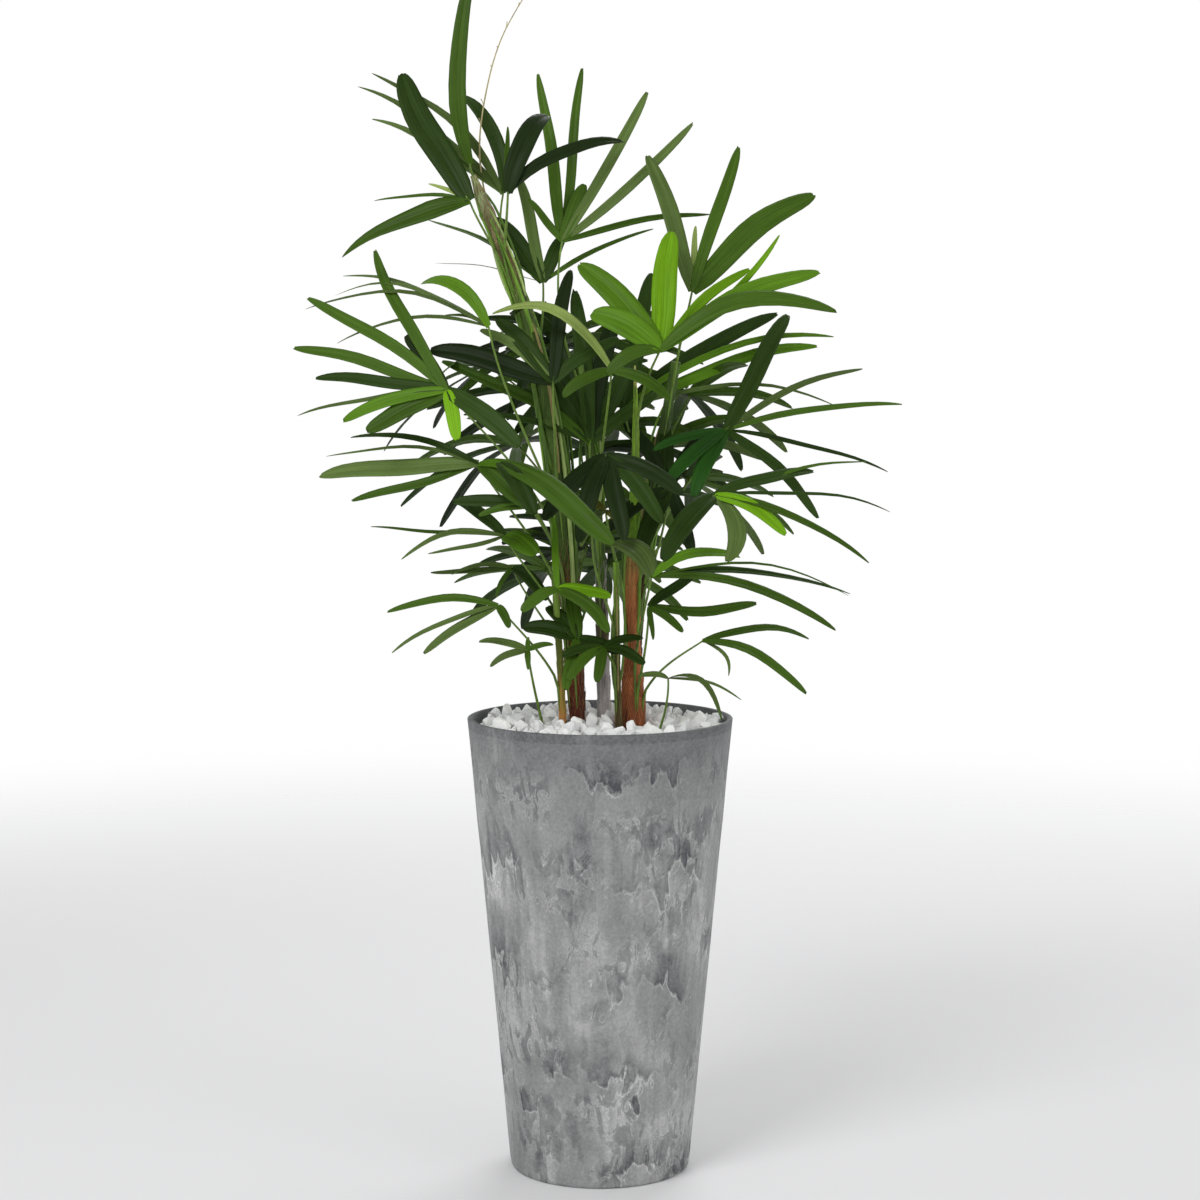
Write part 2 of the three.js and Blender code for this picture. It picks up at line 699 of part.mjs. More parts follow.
const limbs = { flower_stem: flowerStemSolid() };
for (const name of Object.keys(canes)) limbs[`cane_${name}`] = caneSolid(name);
for (const [name, solid] of Object.entries(limbs)) stand(solid, name);

// Every stalk stands before the first leaflet does, so that none of them is crowded out.
const stalks = allLeaves.map((leaf) =>
  firstClear(swerves, (swerve) => stalkSolid(leaf, swerve), leaf.name),
);
allLeaves.forEach((leaf, i) => {
  const blades = leaf.rays.map((_, k) =>
    firstClear(lifts, (lift) => leafletSolid(leaf, k, lift), leaf.name),
  );
  const whole = blades.reduce((all, blade) => (blade ? all.add(blade) : all), stalks[i]);
  limbs[`leaf_${leaf.name}`] = whole.simplify(GAP / 2);
});

const rooted = allLeaves.filter((leaf) => leaf.from[0] === "soil");
const holes = [
  ...Object.keys(canes).map((name) => caneSolid(name, 2 * GAP)),
  ...rooted.map((leaf) => stalkSolid(leaf, 0, 2 * GAP)),
];

const plant = new THREE.Group();
plant.add(meshOf("planter", planterSolid(), colours.planter));
plant.add(meshOf("soil", filling(pot.floor + GAP, soilTop - GAP), colours.soil));
plant.add(meshOf("chippings", chippingsSolid(holes), colours.marble));
for (const [name, solid] of Object.entries(limbs)) {
  plant.add(meshOf(name, solid, colours[name.split("_")[0]]));
}

export default plant;
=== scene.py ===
import json
import math
import random

import bmesh
import bpy
import numpy as np
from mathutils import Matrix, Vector, noise

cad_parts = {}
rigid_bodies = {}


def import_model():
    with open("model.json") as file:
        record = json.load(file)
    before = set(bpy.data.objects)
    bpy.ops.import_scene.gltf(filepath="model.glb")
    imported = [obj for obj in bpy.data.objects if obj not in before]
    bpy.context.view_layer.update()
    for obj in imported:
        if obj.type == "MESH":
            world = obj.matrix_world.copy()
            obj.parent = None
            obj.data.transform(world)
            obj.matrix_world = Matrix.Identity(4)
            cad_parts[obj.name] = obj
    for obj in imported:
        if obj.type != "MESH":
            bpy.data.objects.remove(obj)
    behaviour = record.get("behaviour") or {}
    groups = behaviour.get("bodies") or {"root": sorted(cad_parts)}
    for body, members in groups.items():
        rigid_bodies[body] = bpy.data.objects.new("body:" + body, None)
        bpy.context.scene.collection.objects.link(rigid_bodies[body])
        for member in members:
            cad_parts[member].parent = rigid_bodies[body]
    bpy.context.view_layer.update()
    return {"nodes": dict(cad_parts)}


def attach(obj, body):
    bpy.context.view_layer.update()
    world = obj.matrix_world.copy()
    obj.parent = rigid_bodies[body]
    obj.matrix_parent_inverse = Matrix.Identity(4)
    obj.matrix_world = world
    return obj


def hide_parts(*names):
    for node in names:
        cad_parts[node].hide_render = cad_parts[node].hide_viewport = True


# A lady palm in a tall tapered planter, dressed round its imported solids.
# The plant's own sizes are in millimetres, as its source has them, and meshes are made in metres.

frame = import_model()
mm = 0.001
upwards = np.array([0.0, 0.0, 1.0])


# small helpers

def unit(v):
    return v / np.linalg.norm(v)


def mix(a, b, share):
    return a + (b - a) * share


def dealt(values, share):  # the value a share of the way along a list of evenly spaced ones
    at = share * (len(values) - 1)
    low = min(int(at), len(values) - 1)
    high = min(low + 1, len(values) - 1)
    return mix(values[low], values[high], at - low)


def dice(seed):  # the same generator as the solids' source has
    state = seed
    while True:
        state = (state * 1664525 + 1013904223) % 4294967296
        yield state / 4294967296


def linear(c):  # one channel of a screen colour, 0 to 1, as the shader wants it
    return c / 12.92 if c <= 0.04 else ((c + 0.055) / 1.055) ** 2.4


def srgb(*screen):  # a screen colour, 0 to 255
    return [linear(c / 255) for c in screen] + [1]


def shade(colour, factor, lift=0.0):  # a colour made darker or lighter
    return [min(1, c * factor + lift) for c in colour[:3]] + [1]


def newPiece(name, mesh):
    piece = bpy.data.objects.new(name, mesh)
    bpy.context.scene.collection.objects.link(piece)
    return piece


def newColumns(mesh, columns):  # named values for each point of a mesh
    for label, (kind, values) in columns.items():
        column = mesh.attributes.new(label, kind, "POINT")
        field = "vector" if kind == "FLOAT_VECTOR" else "value"
        column.data.foreach_set(field, values.astype(np.int32 if kind == "INT" else np.float32).ravel())


def addNode(tree, kind, values=None, **settings):
    node = tree.nodes.new(kind)
    for name, value in settings.items():
        setattr(node, name, value)
    for socket, value in (values or {}).items():
        if isinstance(value, bpy.types.NodeSocket):
            tree.links.new(value, node.inputs[socket])
        else:
            node.inputs[socket].default_value = value
    return node


def rangeOf(tree, value, low, high, toLow=0.0, toHigh=1.0, **settings):
    return addNode(tree, "ShaderNodeMapRange", {
        "Value": value, "From Min": low, "From Max": high, "To Min": toLow, "To Max": toHigh,
    }, **settings).outputs[0]


# what the finishes are made of

def finish(name, roughness, specular=0.3):
    material = bpy.data.materials.new(name)
    material.use_nodes = True
    tree = material.node_tree
    shader = tree.nodes["Principled BSDF"]
    shader.inputs["Roughness"].default_value = roughness
    shader.inputs["Specular IOR Level"].default_value = specular
    return material, tree, shader


def placeOf(tree):  # where a spot is on the object
    return addNode(tree, "ShaderNodeTexCoord").outputs["Object"]


def heightOf(tree, place):
    return addNode(tree, "ShaderNodeSeparateXYZ", {0: place}).outputs[2]


def scaled(tree, place, scale):
    return addNode(tree, "ShaderNodeVectorMath", {0: place, 1: scale}, operation="MULTIPLY").outputs[0]


def noiseOf(tree, place, scale, detail=4, roughness=0.55, distortion=0):
    return addNode(tree, "ShaderNodeTexNoise", {
        "Vector": place, "Scale": scale, "Detail": detail, "Roughness": roughness, "Distortion": distortion,
    }).outputs["Fac"]


def calc(tree, operation, *values):
    return addNode(tree, "ShaderNodeMath", dict(enumerate(values)), operation=operation).outputs[0]


def addTo(tree, tone, *parts):  # adds the product of some values to a tone
    product = parts[0]
    for part in parts[1:]:
        product = calc(tree, "MULTIPLY", product, part)
    return calc(tree, "ADD", tone, product)


def awayFromHalf(tree, value):  # how far a value lies from 0.5, which draws lines through noise
    return calc(tree, "ABSOLUTE", calc(tree, "SUBTRACT", value, 0.5))


def weighed(tree, pairs):  # the sum of some values, each times its share
    first, *others = [calc(tree, "MULTIPLY", value, share) for value, share in pairs]
    for other in others:
        first = calc(tree, "ADD", first, other)
    return first


def blendColour(tree, share, first, second, way="MIX"):
    node = addNode(tree, "ShaderNodeMix", {0: share, 6: first, 7: second}, data_type="RGBA", blend_type=way)
    return node.outputs[2]


def bump(tree, shader, height, strength, distance):
    node = addNode(tree, "ShaderNodeBump", {"Height": height, "Strength": strength, "Distance": distance})
    tree.links.new(node.outputs[0], shader.inputs["Normal"])


def attributeOf(tree, name):
    return addNode(tree, "ShaderNodeAttribute", attribute_name=name).outputs["Fac"]


# camera, floor and light

view = {
    "place": (0, -2.748, 0.866),
    "pitchDown": 5.2,
    "focal": 2576,  # in pixels of a frame this many wide
    "side": 1200,
    "sensor": 36,
}

studio = {
    "floorRadius": 3.2,
    "floorSides": 96,
    "floorFade": 1.1,  # from here out the floor fades away
    "floorColour": (0.84, 0.84, 0.85, 1),
    "sky": (1.0, 1.0, 1.0, 1),
    "horizon": 1.0,  # strength of the surroundings' light at eye level
    "overhead": 0.35,  # and overhead
    "turning": (0.3, 0.6),  # the heights of the sky between which the one goes over into the other
    "lamps": {
        "key": {"place": (-1.3, -1.9, 2.9), "size": 1.2, "power": 40},
        "fill": {"place": (2.1, -1.7, 1.5), "size": 1.8, "power": 8},
        "back": {"place": (0.6, 2.2, 2.6), "size": 1.6, "power": 34},
    },
    "aim": (0, 0, 0.75),
}


def makeCamera():
    data = bpy.data.cameras.new("camera")
    data.sensor_width = view["sensor"]
    data.lens = view["sensor"] * view["focal"] / view["side"]
    camera = bpy.data.objects.new("camera", data)
    camera.location = view["place"]
    camera.rotation_euler = (math.radians(90 - view["pitchDown"]), 0, 0)
    bpy.context.scene.collection.objects.link(camera)
    bpy.context.scene.camera = camera


def makeFloor():
    material, tree, shader = finish("paleFloor", 0.9, 0.1)
    shader.inputs["Base Color"].default_value = studio["floorColour"]
    away = addNode(tree, "ShaderNodeVectorMath", {0: placeOf(tree)}, operation="LENGTH").outputs["Value"]
    edge = studio["floorFade"], studio["floorRadius"]
    solid = rangeOf(tree, away, *edge, 1, 0, interpolation_type="SMOOTHSTEP")
    tree.links.new(solid, shader.inputs["Alpha"])
    mesh = bpy.data.meshes.new("floor")
    shape = bmesh.new()
    bmesh.ops.create_circle(
        shape, cap_ends=True, radius=studio["floorRadius"], segments=studio["floorSides"])
    shape.to_mesh(mesh)
    shape.free()
    mesh.materials.append(material)
    newPiece("floor", mesh)


def makeLights():
    world = bpy.data.worlds.new("studio")
    world.use_nodes = True
    tree = world.node_tree
    sky = tree.nodes["Background"]
    sky.inputs["Color"].default_value = studio["sky"]
    way = addNode(tree, "ShaderNodeTexCoord").outputs["Generated"]
    strength = rangeOf(tree, heightOf(tree, way), *studio["turning"], studio["horizon"], studio["overhead"])
    tree.links.new(strength, sky.inputs["Strength"])
    bpy.context.scene.world = world
    for name, lamp in studio["lamps"].items():
        data = bpy.data.lights.new(name, "AREA")
        data.size = lamp["size"]
        data.energy = lamp["power"]
        light = bpy.data.objects.new(name, data)
        light.location = lamp["place"]
        towards = Vector(studio["aim"]) - light.location
        light.rotation_euler = towards.to_track_quat("-Z", "Y").to_euler()
        bpy.context.scene.collection.objects.link(light)
    bpy.context.scene.view_settings.view_transform = "Standard"


makeCamera()
makeFloor()
makeLights()
print("stage: camera, floor and light")


# finishes of leaves and stems

leafTints = {  # one letter for each colour that a leaflet can have
    # k: a darker copy of the dark green, for leaflets deep in the crown: it paints the shade they lie in
    "k": ("deep", (22, 38, 5)),
    "d": ("dark", (36, 58, 9)),
    "e": ("emerald", (26, 66, 6)),
    "m": ("middle", (58, 86, 16)),
    "f": ("fresh", (76, 114, 16)),
    # g: grey-green, partly the pale undersides of thin leaflets, partly a painted sheen where broad blades
    # catch the light
    "g": ("greyish", (78, 98, 46)),
    "o": ("olive", (94, 98, 28)),
    # l: the brightest green, partly the leaflets' own colour, partly painted light shining through them
    "l": ("lime", (98, 144, 10)),
    "p": ("pale", (140, 160, 84)),
}

leafFinish = {
    "roughness": 0.4,
    "roughRange": (-0.07, 0.12),  # how far the roughness strays, down and up
    "gloss": 0.09,
    "veins": (26, 0.1, 1),  # streaks across a leaflet, and how little they change along it
    "veinDepth": 0.0004,
    "clouds": 22,
    "shares": (1.0, 0.3, 0.3),  # what veins, clouds and the leaflet's own lot add to its tone
    "tones": (0.46, 1.14),  # the tones that are darkest and lightest
    # light: the tone of the pale streaks, which are partly the veins' own colour and partly painted
    # highlights along the pleats
    "dark": (0.52, 0), "light": (1.66, 0.008), "under": (1.35, 0.012), "root": (1.25, 0),
    "underShare": 0.55,
    "rootRun": 1.4,  # cm from the hub that the paler root fades over
    "rootShare": 0.5,
}


def leafMaterial(name, colour):
    f = leafFinish
    material, tree, shader = finish(name, f["roughness"], f["gloss"])
    uv = addNode(tree, "ShaderNodeUVMap", uv_map="UVMap").outputs[0]
    base = srgb(*colour)
    veins = noiseOf(tree, scaled(tree, uv, f["veins"]), 1, 2, 0.6)
    clouds = noiseOf(tree, placeOf(tree), f["clouds"], 3)
    tone = weighed(tree, zip((veins, clouds, attributeOf(tree, "lot")), f["shares"]))
    dark, light = shade(base, *f["dark"]), shade(base, *f["light"])
    # the pale vein streaks also paint highlights along the pleats
    top = blendColour(tree, rangeOf(tree, tone, *f["tones"]), dark, light)
    under = calc(tree, "MULTIPLY", attributeOf(tree, "under"), f["underShare"])
    both = blendColour(tree, under, top, shade(base, *f["under"]))
    run = addNode(tree, "ShaderNodeSeparateXYZ", {0: uv}).outputs[1]
    root = rangeOf(tree, run, 0, f["rootRun"], f["rootShare"], 0)
    tree.links.new(blendColour(tree, root, both, shade(base, *f["root"])), shader.inputs["Base Color"])
    rough = rangeOf(tree, clouds, 0.3, 0.7, *(f["roughness"] + change for change in f["roughRange"]))
    tree.links.new(rough, shader.inputs["Roughness"])
    bump(tree, shader, veins, 0.5, f["veinDepth"])
    return material


stemFinish = {
    "streaks": (90, 90, 6),
    "contrast": 0.4,
    "shares": (0.65, 0.35),  # what streaks and blotches add to the tone
    "tones": (0.35, 0.65),
    "relief": 0.0004,
}


def stemMaterial(name, colour, roughness=0.5):
    f = stemFinish
    material, tree, shader = finish(name, roughness)
    place = placeOf(tree)
    base = srgb(*colour)
    streaks = noiseOf(tree, scaled(tree, place, f["streaks"]), 4, 5, 0.6)
    blotches = noiseOf(tree, place, 30, 3)
    tone = weighed(tree, zip((streaks, blotches), f["shares"]))
    dark, light = shade(base, 1 - f["contrast"]), shade(base, 1 + f["contrast"])
    mixed = blendColour(tree, rangeOf(tree, tone, *f["tones"]), dark, light)
    tree.links.new(mixed, shader.inputs["Base Color"])
    bump(tree, shader, streaks, 0.6, f["relief"])
    return material


# geometry node trees

def newTree(name, inputs):
    tree = bpy.data.node_groups.new(name, "GeometryNodeTree")
    tree.interface.new_socket("Geometry", in_out="INPUT", socket_type="NodeSocketGeometry")
    for label, kind in inputs.items():
        tree.interface.new_socket(label, in_out="INPUT", socket_type="NodeSocket" + kind)
    tree.interface.new_socket("Geometry", in_out="OUTPUT", socket_type="NodeSocketGeometry")
    return tree, tree.nodes.new("NodeGroupInput").outputs


def endTree(tree, geometry, finishSocket):
    real = addNode(tree, "GeometryNodeRealizeInstances", {0: geometry}).outputs[0]
    dressed = addNode(tree, "GeometryNodeSetMaterial", {"Geometry": real, "Material": finishSocket})
    tree.links.new(dressed.outputs[0], tree.nodes.new("NodeGroupOutput").inputs[0])
    return tree


def named(tree, name, kind="FLOAT"):
    return addNode(tree, "GeometryNodeInputNamedAttribute", {"Name": name}, data_type=kind).outputs[0]


def stored(tree, geometry, name, value, kind="FLOAT", domain="POINT"):
    node = addNode(tree, "GeometryNodeStoreNamedAttribute", {"Geometry": geometry, "Name": name},
                   data_type=kind, domain=domain)
    tree.links.new(value, node.inputs["Value"])
    return node.outputs[0]


def swept(tree, threads, outline):  # sweeps an outline along threads that hold their facing and half width
    profile = addNode(tree, "GeometryNodeMeshToCurve", {0: outline}).outputs[0]
    curve = addNode(tree, "GeometryNodeMeshToCurve", {0: threads}).outputs[0]
    facing, half = named(tree, "facing", "FLOAT_VECTOR"), named(tree, "halfWidth")
    curve = addNode(tree, "GeometryNodeSetCurveNormal", {0: curve, "Normal": facing}, mode="FREE").outputs[0]
    curve = addNode(tree, "GeometryNodeSetCurveRadius", {0: curve, "Radius": half}).outputs[0]
    node = addNode(tree, "GeometryNodeCurveToMesh", {
        "Curve": curve, "Profile Curve": profile, "Fill Caps": True,
    })
    if "Scale" in node.inputs:
        tree.links.new(half, node.inputs["Scale"])
    return addNode(tree, "GeometryNodeSetShadeSmooth", {0: node.outputs[0]}).outputs[0]


def joined(tree, x, y):
    return addNode(tree, "ShaderNodeCombineXYZ", {0: x, 1: y}).outputs[0]


def scaledBy(tree, vector, factor):
    return addNode(tree, "ShaderNodeVectorMath", {0: vector, "Scale": factor}, operation="SCALE").outputs[0]


def leafletTree():  # a pleated blade, as wide as its thread says
    tree, sizes = newTree("leaflets", {
        "Ribs": "Int", "Pleats": "Float", "Pleat depth": "Float", "Channel": "Float", "Thickness": "Float",
        "Teeth": "Float", "Tooth scale": "Float", "Finish": "Material",
    })
    ribs = sizes["Ribs"]
    index = calc(tree, "ADD", addNode(tree, "GeometryNodeInputIndex").outputs[0], 0.5)
    ring = addNode(tree, "GeometryNodeMeshCircle", {"Vertices": calc(tree, "MULTIPLY", ribs, 2)}).outputs[0]
    # across the upper side from -1 to 1, and back along the underside
    folded = calc(tree, "SUBTRACT", calc(tree, "PINGPONG", index, ribs), 0.5)
    gaps = calc(tree, "SUBTRACT", ribs, 1)
    across = calc(tree, "SUBTRACT", calc(tree, "DIVIDE", calc(tree, "MULTIPLY", folded, 2), gaps), 1)
    under = calc(tree, "GREATER_THAN", index, ribs)
    wave = calc(tree, "MULTIPLY", calc(tree, "ADD", across, 1), sizes["Pleats"])
    height = calc(tree, "MULTIPLY", calc(tree, "PINGPONG", wave, 1), sizes["Pleat depth"])
    height = addTo(tree, height, calc(tree, "ABSOLUTE", across), sizes["Channel"])
    height = calc(tree, "SUBTRACT", height, calc(tree, "MULTIPLY", under, sizes["Thickness"]))
    shaped = addNode(tree, "GeometryNodeSetPosition", {
        "Geometry": ring, "Position": joined(tree, across, height),
    }).outputs[0]
    marked = stored(tree, shaped, "across", across)
    marked = stored(tree, marked, "under", under)
    blades = swept(tree, sizes["Geometry"], marked)
    # the tip's last ring is drawn in unevenly, which leaves the blunt end toothed
    jag = addNode(tree, "ShaderNodeTexNoise", {
        "Vector": addNode(tree, "GeometryNodeInputPosition").outputs[0],
        "Scale": sizes["Tooth scale"], "Detail": 1,
    }).outputs["Fac"]
    pull = calc(tree, "MULTIPLY", calc(tree, "SUBTRACT", jag, 0.75), sizes["Teeth"])
    blades = addNode(tree, "GeometryNodeSetPosition", {
        "Geometry": blades, "Selection": calc(tree, "GREATER_THAN", named(tree, "share"), 0.995),
        "Offset": scaledBy(tree, named(tree, "along", "FLOAT_VECTOR"), pull),
    }).outputs[0]
    uv = joined(tree, calc(tree, "MULTIPLY_ADD", named(tree, "across"), 0.5, 0.5), named(tree, "run"))
    return endTree(tree, stored(tree, blades, "UVMap", uv, "FLOAT2", "CORNER"), sizes["Finish"])


def stemTree():  # a round stem with a groove along its upper side
    tree, sizes = newTree("stems", {"Sides": "Int", "Groove": "Float", "Finish": "Material"})
    ring = addNode(tree, "GeometryNodeMeshCircle", {"Vertices": sizes["Sides"]}).outputs[0]
    place = addNode(tree, "GeometryNodeInputPosition").outputs[0]
    x, y, _ = addNode(tree, "ShaderNodeSeparateXYZ", {0: place}).outputs
    dip = calc(tree, "MULTIPLY", calc(tree, "MAXIMUM", y, 0), sizes["Groove"])
    shaped = addNode(tree, "GeometryNodeSetPosition", {
        "Geometry": ring, "Position": joined(tree, x, calc(tree, "SUBTRACT", y, dip)),
    }).outputs[0]
    return endTree(tree, swept(tree, sizes["Geometry"], shaped), sizes["Finish"])


def grown(name, mesh, tree, sizes):  # what a node tree makes of a mesh, as a plain mesh object of its own
    seed = newPiece(name + "Seed", mesh)
    modifier = seed.modifiers.new(tree.name, "NODES")
    modifier.node_group = tree
    for socket in tree.interface.items_tree:
        if socket.in_out == "INPUT" and socket.name in sizes:
            modifier[socket.identifier] = sizes[socket.name]
    graph = bpy.context.evaluated_depsgraph_get()
    made = bpy.data.meshes.new_from_object(
        seed.evaluated_get(graph), preserve_all_data_layers=True, depsgraph=graph)
    made.name = name
    bpy.data.objects.remove(seed)
    return newPiece(name, made)


def threadMesh(name, threads):  # lines with what is needed to sweep a profile along them
    points = np.vstack([t["points"] for t in threads]) * mm
    counts = [len(t["points"]) for t in threads]
    starts = np.cumsum([0] + counts[:-1])
    edges = [(s + i, s + i + 1) for s, n in zip(starts, counts) for i in range(n - 1)]
    mesh = bpy.data.meshes.new(name)
    mesh.from_pydata(points.tolist(), edges, [])
    tangents = [np.gradient(t["points"], axis=0) for t in threads]
    newColumns(mesh, {
        "facing": ("FLOAT_VECTOR", np.vstack([t["facing"] for t in threads])),
        "along": ("FLOAT_VECTOR", np.vstack([a / np.linalg.norm(a, axis=1)[:, None] for a in tangents])),
        "halfWidth": ("FLOAT", np.concatenate([t["half"] for t in threads]) * mm),
        "share": ("FLOAT", np.concatenate([np.linspace(0, 1, n) for n in counts])),
        "run": ("FLOAT", np.concatenate([t["run"] for t in threads]) / 10),
        "lot": ("FLOAT", np.concatenate([np.full(n, t["lot"]) for t, n in zip(threads, counts)])),
    })
    return mesh


def thread(points, facing, half, lot=0.5):  # a line in mm, with what a swept piece takes from it
    points = np.array(points, float)
    steps = np.linalg.norm(np.diff(points, axis=0), axis=1)
    return {
        "points": points,
        "facing": np.broadcast_to(np.array(facing, float), points.shape),
        "half": np.broadcast_to(half, len(points)),
        "run": np.concatenate([[0], np.cumsum(steps)]),
        "lot": lot,
    }


def settle(piece, slot, *nodes):
    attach(piece, "root")
    if nodes:
        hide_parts(*nodes)
    print("made", piece.name, len(piece.data.polygons), "faces")


# planter

planter = {
    "height": 0.490,
    "rimRadius": 0.1425,
    "footRadius": 0.097,
    "wall": 0.006,
    "floor": 0.014,
    "footEdge": 0.004,
    "rimEdge": 0.0012,
    "bendSteps": 6,  # steps round the foot's edge and over the lip
    "sides": 192,
    "rows": 60,  # rings up the outside
    "innerRows": 11,
    "relief": 0.00025,  # how uneven the wall is
    "dents": (4, 22),  # how close the dents are, round the wall and up it
}

glaze = {  # the planter's streaked finish: what each pattern adds to a tone that runs from dark to pale
    "roughness": 0.6, "gloss": 0.2,
    "colours": [(76, 79, 83), (152, 153, 152), (222, 223, 222)],
    "turns": (0.0, 0.5, 1.1),  # the tones that these colours stand for
    "clouds": (0.3, 0.66),
    "streaks": (-0.15, 0.13),
    "grain": (-0.1, 0.1),
    "runs": 9,  # runs of slip in each metre of height
    "runBend": 1.8,  # how far they wander up and down
    "runLobes": 1.3,  # how deep the scallops of their edges hang
    "runShade": -0.36,
    "runEdge": 0.72,
    "smooth": (0.43, 0.475),  # the heights between which runs and veins fade out under the lip
    "veins": (0.13, -0.15),
    "ridge": 0.32,
    "topDark": 0.29,  # how much darker the wall grows towards the lip
    "topDarkFrom": (0.37, 0.5),
    "band": 0.08,  # the smooth band under the lip
    "bandHeight": 0.0105,
    "relief": 0.0011,
}


def planterProfile():  # radius and height, from the middle of the foot to the middle of the floor
    p = planter
    outer = lambda z: mix(p["footRadius"], p["rimRadius"], z / p["height"])
    profile = [(0, 0), (p["footRadius"] - p["footEdge"] * 2, 0)]
    for i in range(p["bendSteps"] + 1):  # the rounded foot
        a = math.radians(-90 + 90 / p["bendSteps"] * i)
        profile.append((outer(0) - p["footEdge"] * (1 - math.cos(a)), p["footEdge"] * (1 + math.sin(a))))
    for i in range(1, p["rows"]):
        z = mix(p["footEdge"], p["height"] - p["rimEdge"], i / p["rows"])
        profile.append((outer(z), z))
    half = p["wall"] / 2
    for i in range(p["bendSteps"] + 1):  # the rounded lip
        a = math.radians(180 / p["bendSteps"] * i)
        edge = p["height"] - p["rimEdge"] * (1 - math.sin(a))
        profile.append((p["rimRadius"] - half + half * math.cos(a), edge))
    for i in range(1, p["innerRows"] + 1):
        z = mix(p["height"] - p["rimEdge"], p["floor"], i / p["innerRows"])
        profile.append((outer(z) - p["wall"], z))
    return profile + [(0, p["floor"])]


def makePlanter():
    sides = planter["sides"]
    about, up = planter["dents"]
    shape = bmesh.new()
    rings = []
    for r, z in planterProfile():
        if r == 0:
            rings.append([shape.verts.new((0, 0, z))])
            continue
        ring = []
        for k in range(sides):
            a = 2 * math.pi * k / sides
            spot = Vector((math.cos(a) * about, math.sin(a) * about, z * up))
            dented = r + noise.noise(spot) * planter["relief"]
            ring.append(shape.verts.new((dented * math.cos(a), dented * math.sin(a), z)))
        rings.append(ring)
    for lower, higher in zip(rings, rings[1:]):
        for k in range(sides):
            n = (k + 1) % sides
            corners = [ring[i % len(ring)] for ring, i in ((lower, k), (lower, n), (higher, n), (higher, k))]
            shape.faces.new(list(dict.fromkeys(corners)))
    bmesh.ops.recalc_face_normals(shape, faces=shape.faces)
    for face in shape.faces:
        face.smooth = True
    mesh = bpy.data.meshes.new("planter_shell")
    shape.to_mesh(mesh)
    shape.free()
    mesh.materials.append(planterMaterial())
    settle(newPiece("planter_shell", mesh), "planter", "planter")


def planterMaterial():
    g = glaze
    material, tree, shader = finish("streakedStone", g["roughness"], g["gloss"])
    place = placeOf(tree)
    height = heightOf(tree, place)
    clouds = noiseOf(tree, scaled(tree, place, (1, 1, 0.7)), 12, 6, 0.62, 0.8)
    streaks = noiseOf(tree, scaled(tree, place, (1, 1, 0.1)), 75, 5, 0.65, 0.3)
    streakShare = rangeOf(tree, noiseOf(tree, place, 9, 2), 0.38, 0.6, 0.25, 1)
    grain = noiseOf(tree, place, 300, 4, 0.72)
    tone = rangeOf(tree, clouds, 0.3, 0.7, *g["clouds"])
    tone = addTo(tree, tone, rangeOf(tree, streaks, 0.32, 0.68, *g["streaks"]), streakShare)
    tone = addTo(tree, tone, rangeOf(tree, grain, 0.3, 0.7, *g["grain"]))
    # runs of slip: a saw-tooth up the wall, bent by noise, leaves pale scalloped edges under dark patches
    bend = noiseOf(tree, scaled(tree, place, (1, 1, 0.4)), 20, 7, 0.6, 0.4)
    lobes = noiseOf(tree, scaled(tree, place, (1, 1, 0.4)), 44, 2, 0.5, 0.3)
    level = calc(tree, "MULTIPLY_ADD", bend, g["runBend"], calc(tree, "MULTIPLY", height, g["runs"]))
    level = addTo(tree, level, awayFromHalf(tree, lobes), g["runLobes"])
    saw = calc(tree, "FRACT", level)
    smooth = rangeOf(tree, height, *g["smooth"], 1, 0)
    runs = rangeOf(tree, noiseOf(tree, scaled(tree, place, (1, 1, 0.8)), 13, 3, 0.55), 0.42, 0.54)
    runs = calc(tree, "MULTIPLY", runs, smooth)
    tone = addTo(tree, tone, rangeOf(tree, saw, 0.05, 0.5, g["runShade"], 0), runs)
    tone = addTo(tree, tone, rangeOf(tree, saw, 0.0, 0.085, g["runEdge"], 0), runs)
    # curdled veins between the runs
    veins = noiseOf(tree, scaled(tree, place, (1, 1, 0.5)), 60, 6, 0.62, 1.1)
    ridge = rangeOf(tree, awayFromHalf(tree, veins), 0, 0.022, 1, 0)
    curdled = rangeOf(tree, noiseOf(tree, place, 17, 3, 0.5, 0.3), 0.42, 0.58)
    curdled = calc(tree, "MULTIPLY", curdled, smooth)
    tone = addTo(tree, tone, ridge, curdled, g["ridge"])
    tone = addTo(tree, tone, rangeOf(tree, veins, 0.42, 0.6, *g["veins"]), curdled)
    # the wall grows darker towards the lip along a wavering line, and darker again in the smooth band under
    # the lip
    wavyHeight = addTo(tree, height, rangeOf(tree, streaks, 0.3, 0.7, -0.05, 0.05))
    wavyHeight = addTo(tree, wavyHeight, rangeOf(tree, clouds, 0.3, 0.7, -0.06, 0.06))
    tone = calc(tree, "SUBTRACT", tone, rangeOf(tree, wavyHeight, *g["topDarkFrom"], 0, g["topDark"]))
    bandFoot = planter["height"] - g["bandHeight"]
    band = rangeOf(tree, height, bandFoot, bandFoot + 0.001)
    tone = calc(tree, "SUBTRACT", tone, calc(tree, "MULTIPLY", band, g["band"]))
    dark, middle, pale = (srgb(*colour) for colour in g["colours"])
    colour = blendColour(tree, rangeOf(tree, tone, *g["turns"][:2]), dark, middle)
    colour = blendColour(tree, rangeOf(tree, tone, *g["turns"][1:]), colour, pale)
    tree.links.new(colour, shader.inputs["Base Color"])
    bump(tree, shader, tone, 0.45, g["relief"])
    return material


makePlanter()


# growing medium

pottingMix = {"dark": (30, 20, 14), "light": (74, 54, 38), "crumbs": 260, "relief": 0.002}


